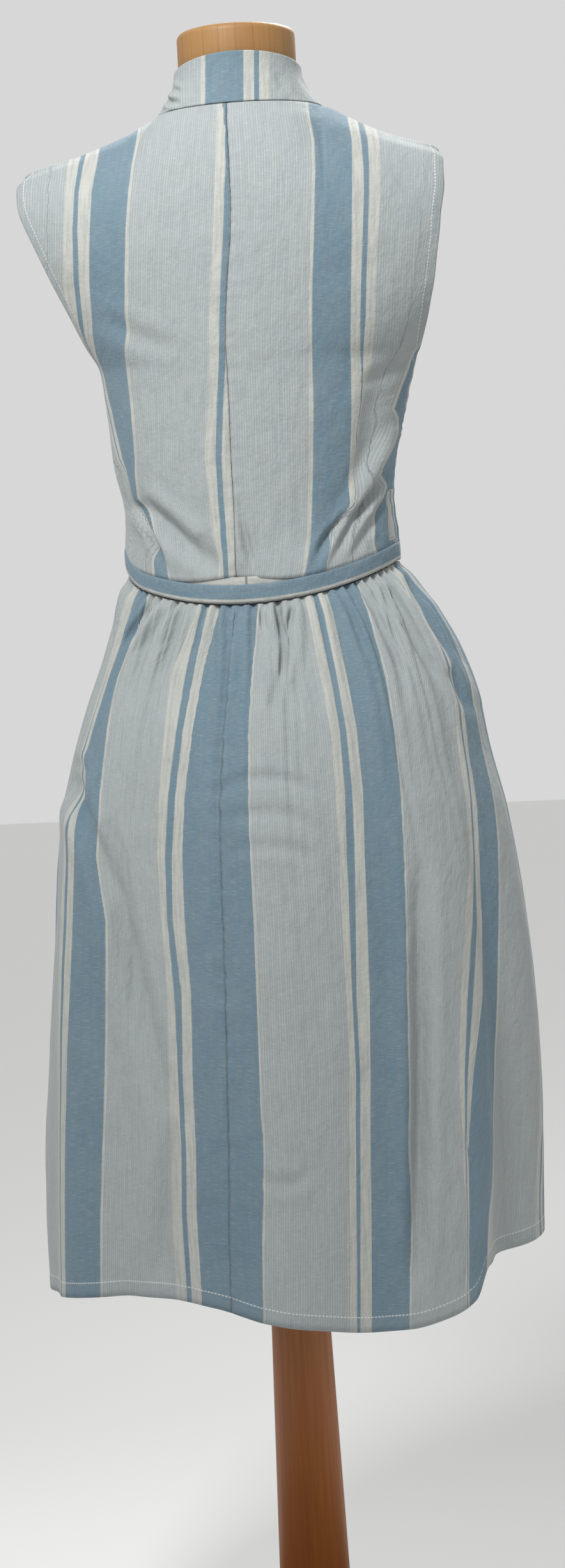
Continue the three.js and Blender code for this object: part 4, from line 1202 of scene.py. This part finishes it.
def skirt_panel(name, start, end):
    """A panel of the skirt between two angles, with its folds, turned hem and stripe."""
    quarters = round((end - start) / 90)
    drops = np.linspace(0, 1, SKIRT_ROW_COUNT + 1) ** 1.3
    degrees = np.linspace(start, end, quarters * SKIRT_COLUMN_COUNT + 1)
    degree, drop = np.meshgrid(degrees, drops)
    points = skirt_points(degree * DEGREE, drop)
    z = points[..., 2]
    below = smooth_step(drop * SKIRT_LENGTH / 14)
    offset = wrinkle_offset(points, SKIRT_WRINKLE) * below * (0.6 + 0.7 * drop)
    offset += crease_offset(points, BACK_CREASES, CAMERA_AZIMUTH) * below
    offset += crease_offset(points, FRONT_CREASES, CAMERA_AZIMUTH - 180) * below
    along = distance_along(points)
    from_seam = along if start == 0 else along[:, -1:] - along
    if start != 90:
        offset += seam_offset(from_seam, z)
        crumple = noise_at(points * [0.3, 0.3, 1] + 41, [SEAM_CRUMPLE_CELL] * 3)
        offset += SEAM_CRUMPLE * crumple * below * np.exp(-((from_seam / SEAM_CRUMPLE_REACH) ** 2))
    from_hem = np.linalg.norm(points - points[-1:], axis=-1)
    offset += HEM_STANDS_OUT * smooth_step((HEM_TURN - from_hem) / 1.5 + 0.5)
    offset -= HEM_GROOVE * np.exp(-(((from_hem - HEM_TURN) / HEM_GROOVE_WIDTH) ** 2))
    placed = points + level_normals(points) * offset[..., None]
    if start == 90:
        place = FRONT_SKIRT_PLACE - (degree - 90) * CLOTH_PER_DEGREE
    else:
        place = place_on_skirt(placed, degrees)
    uv = np.stack([place * MM, drop * SKIRT_CLOTH_LENGTH], -1)
    stitch = np.stack([(from_hem - HEM_TURN + 1) * MM, degree * DEGREE * HEM_RADIUS], -1)
    return cloth_piece(name + "_cloth", placed, uv, name, stitch)


bodice_pieces = [
    bodice_panel("bodice_back_left", 1, True),
    bodice_panel("bodice_back_right", -1, True),
    bodice_panel("bodice_front_left", 1, False),
    bodice_panel("bodice_front_right", -1, False),
]
skirt_pieces = [
    skirt_panel("skirt_back_left", 0, 90),
    skirt_panel("skirt_back_right", -90, 0),
    skirt_panel("skirt_front", 90, 270),
]


def waist_points(angle, z, out):
    """Points round the waist's section, a distance outside it."""
    half = WAIST_HALF + out
    depth = np.where(np.cos(angle) > 0, WAIST_BACK_DEPTH, WAIST_FRONT_DEPTH) + out
    return np.stack([WAIST_SHIFT + half * np.sin(angle), depth * np.cos(angle), z], -1)


BELT_LIFT = 9


def belt_lift(angle):
    """The belt rides up at the wearer's left side."""
    degrees = angle / DEGREE
    return BELT_LIFT * smooth_step((degrees - 52) / 30) * smooth_step((150 - degrees) / 45)


def waist_strip(name, start, end, low, high, out, thickness, uv_low, uv_high, ring=False):
    """A strip that follows the waist seam; its middle stands out a little from its edges."""
    angles = np.linspace(start, end, 360 if ring else 361, endpoint=not ring) * DEGREE
    heights = np.linspace(low, high, 9)
    angle, height = np.meshgrid(angles, heights)
    crown = 0.5 * (1 - (2 * (height - low) / (high - low) - 1) ** 4)
    lift = 0 if ring else belt_lift(angle)
    points = waist_points(angle, waist_height(angle) + height + lift, out - 0.5 + crown)
    share = (height - low) / (high - low)
    uv = np.stack([(uv_low + (uv_high - uv_low) * share) * MM, angle * WAIST_HALF * MM], -1)
    return cloth_piece(name + "_cloth", points, uv, name, None, thickness, ring)


band_half = WAISTBAND_HEIGHT / 2 - SEAM_HALF_GAP
white_middle = LIGHT_END + 4
waistband = waist_strip("waistband", 0, 360, -band_half, band_half, 0, SHELL,
                        white_middle - 16, white_middle + 1, ring=True)
belt_out = BELT_STANDOFF + BELT_THICKNESS
belt_low = -BELT_WIDTH / 2 - BELT_SLIP
belt_high = BELT_WIDTH / 2 - BELT_SLIP
KNOT_HALF_ANGLE = 6
belt_edge = THIN_WHITE_START
belt = waist_strip("belt", -180 + KNOT_HALF_ANGLE, 180 - KNOT_HALF_ANGLE, belt_low, belt_high,
                   belt_out, BELT_THICKNESS, belt_edge + 3.3, belt_edge - 12.7)

belt_front = WAIST_FRONT_DEPTH + belt_out
knot_height = WAIST_SIDE_HEIGHT - WAIST_FRONT_DROP - BELT_SLIP
KNOT_SIZE = (11, 6.5, 11)
KNOT_STANDOFF = 4.6
KNOT_SHRINK = 0.94
TAIL_STANDOFF = 5
TAIL_SHELL = BELT_THICKNESS * 0.8


def tail_points(side, length, t, across):
    """Points of a hanging belt end, t down its length and across its width."""
    z = knot_height - KNOT_SIZE[2] - 1 - length * t
    spread = side * (6 + 22 * np.sqrt(t) + 8 * t * t)
    front = -(look_up(skirt_table, z, "front") + TAIL_STANDOFF + 5 * np.sin(math.pi * t))
    x = WAIST_SHIFT + spread + across * BELT_WIDTH / 2
    return np.stack([x, front * np.sqrt(1 - (x / 200) ** 2) - side * across * 1.2, z], -1)


def belt_tail(name, side, length):
    t, across = np.meshgrid(np.linspace(0, 1, 90), np.linspace(-1, 1, 9), indexing="ij")
    narrow = 0.45 + 0.55 * smooth_step(t * 5)
    points = tail_points(side, length, t, across * narrow)
    uv = np.stack([(belt_edge - 4.7 + 8 * across) * MM, points[..., 2] * MM], -1)
    return cloth_piece(name + "_cloth", points, uv, name, None, TAIL_SHELL, False)


tails = [
    belt_tail("belt_tail_left", 1, TAIL_LENGTHS[0]),
    belt_tail("belt_tail_right", -1, TAIL_LENGTHS[1]),
]


def knot_piece():
    """The knot: a soft bulge with creases that twist round it."""
    rows, sides = 36, 48
    rings = []
    for j in range(rows + 1):
        t = -1 + 2 * j / rows
        k = 0.5 + 0.5 * math.sqrt(max(0, 1 - t**4))
        a = np.linspace(0, 2 * math.pi, sides, endpoint=False)
        crease = 1 - 0.07 * np.cos(3 * a + 2.2 * t) - 0.05 * np.cos(7 * a - 3 * t)
        x = KNOT_SIZE[0] * k * np.sign(np.cos(a)) * np.abs(np.cos(a)) ** 0.6 * crease
        z = KNOT_SIZE[2] * k * np.sign(np.sin(a)) * np.abs(np.sin(a)) ** 0.6 * crease
        y = np.full(sides, -belt_front - KNOT_STANDOFF - KNOT_SIZE[1] * t)
        rings.append(np.stack([WAIST_SHIFT + x * KNOT_SHRINK, y, knot_height + z * KNOT_SHRINK], -1))
    knot = lofted("belt_knot_cloth", rings, cotton, "belt_knot")
    layer = knot.data.uv_layers.new(name="cloth")
    for loop in knot.data.loops:
        co = knot.data.vertices[loop.vertex_index].co
        layer.data[loop.index].uv = ((belt_edge - 8) * MM + co.z * 0.3 % 0.01, co.x)
    return knot


knot = knot_piece()


def collar_points(angle, up):
    """Outer face of the collar, for arrays of angles and of up (0 seam, 1 top)."""
    is_back = np.cos(angle) > 0
    foot_x = np.minimum(np.abs(NECK_HALF_WIDTH * np.sin(angle)), NECK_HALF_WIDTH - 0.01)
    foot_depth = np.where(is_back, NECK_BACK_DEPTH, NECK_FRONT_DEPTH)
    foot = np.where(is_back, top_height(foot_x, True), top_height(foot_x, False)) + COLLAR_SEAM_LIFT
    level = COLLAR_TOP_FRONT + (COLLAR_TOP_BACK - COLLAR_TOP_FRONT) * (1 + np.cos(angle)) / 2
    head = level - COLLAR_LEFT_DROP * np.sin(angle)
    draw = np.sin(up * math.pi / 2)
    radius_x = NECK_HALF_WIDTH + (COLLAR_TOP_RADIUS - NECK_HALF_WIDTH) * draw
    radius_y = foot_depth + (COLLAR_TOP_RADIUS - foot_depth) * draw
    z = foot + (head - foot) * up
    return np.stack([NECK_SHIFT + radius_x * np.sin(angle), radius_y * np.cos(angle), z], -1)


def collar_piece():
    """The stand collar, with its creases and the stripe that crosses it."""
    angles = np.linspace(-math.pi, math.pi, 361)
    angle, up = np.meshgrid(angles, np.linspace(0, 1, 31))
    points = collar_points(angle, up)
    column = photo_pixels(points)[0]
    held = np.sin(up * math.pi) ** 0.5
    crumple = crease_offset(points, COLLAR_CREASES, CAMERA_AZIMUTH) + wrinkle_offset(points, COLLAR_WRINKLE)
    points = points + level_normals(points) * (crumple * held)[..., None]
    seen = COLLAR_CENTRE + (COLLAR_COLUMN - column) * CLOTH_PER_PIXEL
    facing = smooth_step((np.cos(angle) - 0.2) / 0.4)
    across = facing * seen + (1 - facing) * (COLLAR_CENTRE + angle * COLLAR_RADIUS)
    uv = np.stack([across * MM, points[..., 2] * MM], -1)
    return cloth_piece("collar_cloth", points, uv, "collar", None, COLLAR_SHELL)


collar = collar_piece()


def front_centre_points(up, x):
    """Points on the placket's face: up the front, and x across from the centre."""
    side = np.where(x < 0, -1.0, 1.0)
    zero = np.zeros_like(up)
    step = np.full_like(up, 1 / 12)
    low = bodice_points(zero, up, 1, False)
    left = bodice_points(step, up, 1, False)
    right = bodice_points(step, up, -1, False)
    high = np.where((side > 0)[..., None], left, right)
    middle = low[..., 0] - SEAM_HALF_GAP
    t = np.abs(x) / np.abs(high[..., 0] - middle)
    y = low[..., 1] + (high[..., 1] - low[..., 1]) * t
    z = low[..., 2] + (high[..., 2] - low[..., 2]) * t
    return np.stack([middle + x, y - PLACKET_STANDOFF - CLOTH, z], -1)


PLACKET_TOP = 0.975
PLACKET_PLACE = 60
PLACKET_SHELL = 1.0


def placket_piece():
    """The strip down the centre front that carries the buttons."""
    ups = np.linspace(0, PLACKET_TOP, 120)
    up, x = np.meshgrid(ups, np.linspace(-PLACKET_WIDTH / 2, PLACKET_WIDTH / 2, 15), indexing="ij")
    points = front_centre_points(up, x)
    uv = np.stack([(PLACKET_PLACE + x) * MM, points[..., 2] * MM], -1)
    return cloth_piece("placket_cloth", points, uv, "placket", None, PLACKET_SHELL)


placket = placket_piece()


# Radius and height along a button's section, from its back to its dished face
BUTTON_SECTION = [(0.01, 0), (4.4, 0), (5.3, 0.5), (5.6, 1.2), (5.5, 1.9), (5.0, 2.35),
                  (4.3, 2.4), (3.9, 2.1), (3.5, 1.8), (0.01, 1.75)]
FIRST_BUTTON = 0.1
BUTTON_SPAN = 0.82
BUTTON_STANDOFF = 0.9


def button_piece(index):
    """One dished button, flat on the placket's slope."""
    up = np.array([FIRST_BUTTON + BUTTON_SPAN * index / (BUTTON_COUNT - 1)])
    zero = np.array([0.0])
    here = front_centre_points(up, zero)[0]
    below = front_centre_points(up - 0.03, zero)[0]
    slope = math.atan2(here[1] - below[1], here[2] - below[2])
    outward = np.array([0, -math.cos(slope), math.sin(slope)])
    upward = np.array([0, math.sin(slope), math.cos(slope)])
    sideways = np.array([1.0, 0, 0])
    sides = 40
    a = np.linspace(0, 2 * math.pi, sides, endpoint=False)
    start = here + outward * BUTTON_STANDOFF
    spokes = np.cos(a)[:, None] * sideways + np.sin(a)[:, None] * upward
    rings = [start + outward * height + radius * spokes for radius, height in BUTTON_SECTION]
    name = f"button_{index + 1}"
    return lofted(name + "_disc", rings, pearl, name)


for button_index in range(BUTTON_COUNT):
    button_piece(button_index)


def form_piece():
    """The form's jersey cover, from hip to neck."""
    heights = np.concatenate([np.linspace(FORM_BOTTOM, 1350, 60), np.linspace(1354, 1435, 28)])
    a = np.linspace(0, 2 * math.pi, 120, endpoint=False)
    rings = []
    for z in heights:
        half = look_up(form_table, z, "half")
        back, front, shift = (look_up(form_table, z, key) for key in ("back", "front", "shift"))
        depth = np.where(np.cos(a) > 0, back, front)
        rings.append(np.stack([shift + half * np.sin(a), depth * np.cos(a), np.full(len(a), z)], -1))
    return lofted("form_torso_cover", [ring[::-1] for ring in rings], jersey, "form_torso")


form_piece()
cap_profile = [(CAP_RADIUS - 0.5, CAP_BOTTOM), (CAP_RADIUS, CAP_BOTTOM + 0.5)]
cap_profile += rounded_edge(CAP_RADIUS, CAP_TOP, 6)
turned("neck_cap_wood", cap_profile, 120, pale_wood, "pale_wood", "neck_cap", NECK_SHIFT)
post_profile = [(POST_FOOT_RADIUS, BASE_HEIGHT + POST_GAP), (POST_TOP_RADIUS, FORM_BOTTOM - POST_GAP)]
turned("stand_post_wood", post_profile, 96, brown_wood, "brown_wood", "stand_post")
base_profile = [(BASE_RADIUS - 3, 0), (BASE_RADIUS, 3)] + rounded_edge(BASE_RADIUS, BASE_HEIGHT, 8)
turned("stand_base_wood", base_profile, 160, brown_wood, "brown_wood", "stand_base")

# Stage, light and camera
FLOOR_TONE = (236, 236, 234)
WORLD_STRENGTH = 0.68
LIGHT_SIZE = (0.6, 0.6)
LIGHT_SPREAD = 60
BACK_LIGHT_PLACE = (0.4, 1.7, 2.8)
FRONT_LIGHT_PLACE = (-0.4, -1.7, 2.8)
BACK_LIGHT_POWER = 6.5
FRONT_LIGHT_POWER = 7


def stage_floor():
    n = Nodes("floor")
    place = n.own_place()
    tone = n.noise(place, 1.5, 2)
    colour = n.mix(n.times(tone, 0.1), linear(FLOOR_TONE), linear((226, 226, 226)))
    n.surface(colour, None, {"Roughness": 0.9})
    mesh = bpy.data.meshes.new("floor")
    size = 12
    corners = [(-size, -size, 0), (size, -size, 0), (size, size, 0), (-size, size, 0)]
    mesh.from_pydata(corners, [], [(0, 1, 2, 3)])
    mesh.materials.append(n.material)
    floor = bpy.data.objects.new("floor", mesh)
    in_scene(floor)


def area_light(name, place, aim, power):
    data = bpy.data.lights.new(name, "AREA")
    data.shape = "RECTANGLE"
    data.size, data.size_y = LIGHT_SIZE
    data.energy = power
    data.spread = LIGHT_SPREAD * DEGREE
    light = bpy.data.objects.new(name, data)
    light.location = place
    light.rotation_euler = (Vector(aim) - Vector(place)).to_track_quat("-Z", "Y").to_euler()
    in_scene(light)


def world_light(colour, strength):
    world = bpy.data.worlds.new("studio")
    bpy.context.scene.world = world
    world.use_nodes = True
    background = world.node_tree.nodes["Background"]
    background.inputs["Color"].default_value = colour
    background.inputs["Strength"].default_value = strength


def photo_camera():
    a = CAMERA_AZIMUTH * DEGREE
    right = Vector((math.cos(a), math.sin(a), 0))
    place = Vector((math.sin(a) * CAMERA_DISTANCE, -math.cos(a) * CAMERA_DISTANCE, CAMERA_HEIGHT))
    aim = right * AIM_RIGHT + Vector((0, 0, AIM_HEIGHT))
    data = bpy.data.cameras.new("camera")
    data.sensor_width = SENSOR
    data.lens = SENSOR * CAMERA_DISTANCE / MM / PIXEL_SIZE_MM / PHOTO_HEIGHT
    camera = bpy.data.objects.new("camera", data)
    turn = (aim - place).to_track_quat("-Z", "Y").to_matrix().to_4x4()
    roll = Matrix.Rotation(CAMERA_ROLL * DEGREE, 4, "Z")
    camera.matrix_world = Matrix.Translation(place) @ turn @ roll
    in_scene(camera)
    bpy.context.scene.camera = camera


stage_floor()
world_light((1, 1, 1, 1), WORLD_STRENGTH)
area_light("key", BACK_LIGHT_PLACE, (0, 0.1, 1.42), BACK_LIGHT_POWER)
area_light("front_key", FRONT_LIGHT_PLACE, (0, -0.1, 1.42), FRONT_LIGHT_POWER)
photo_camera()
bpy.context.scene.view_settings.view_transform = "Standard"
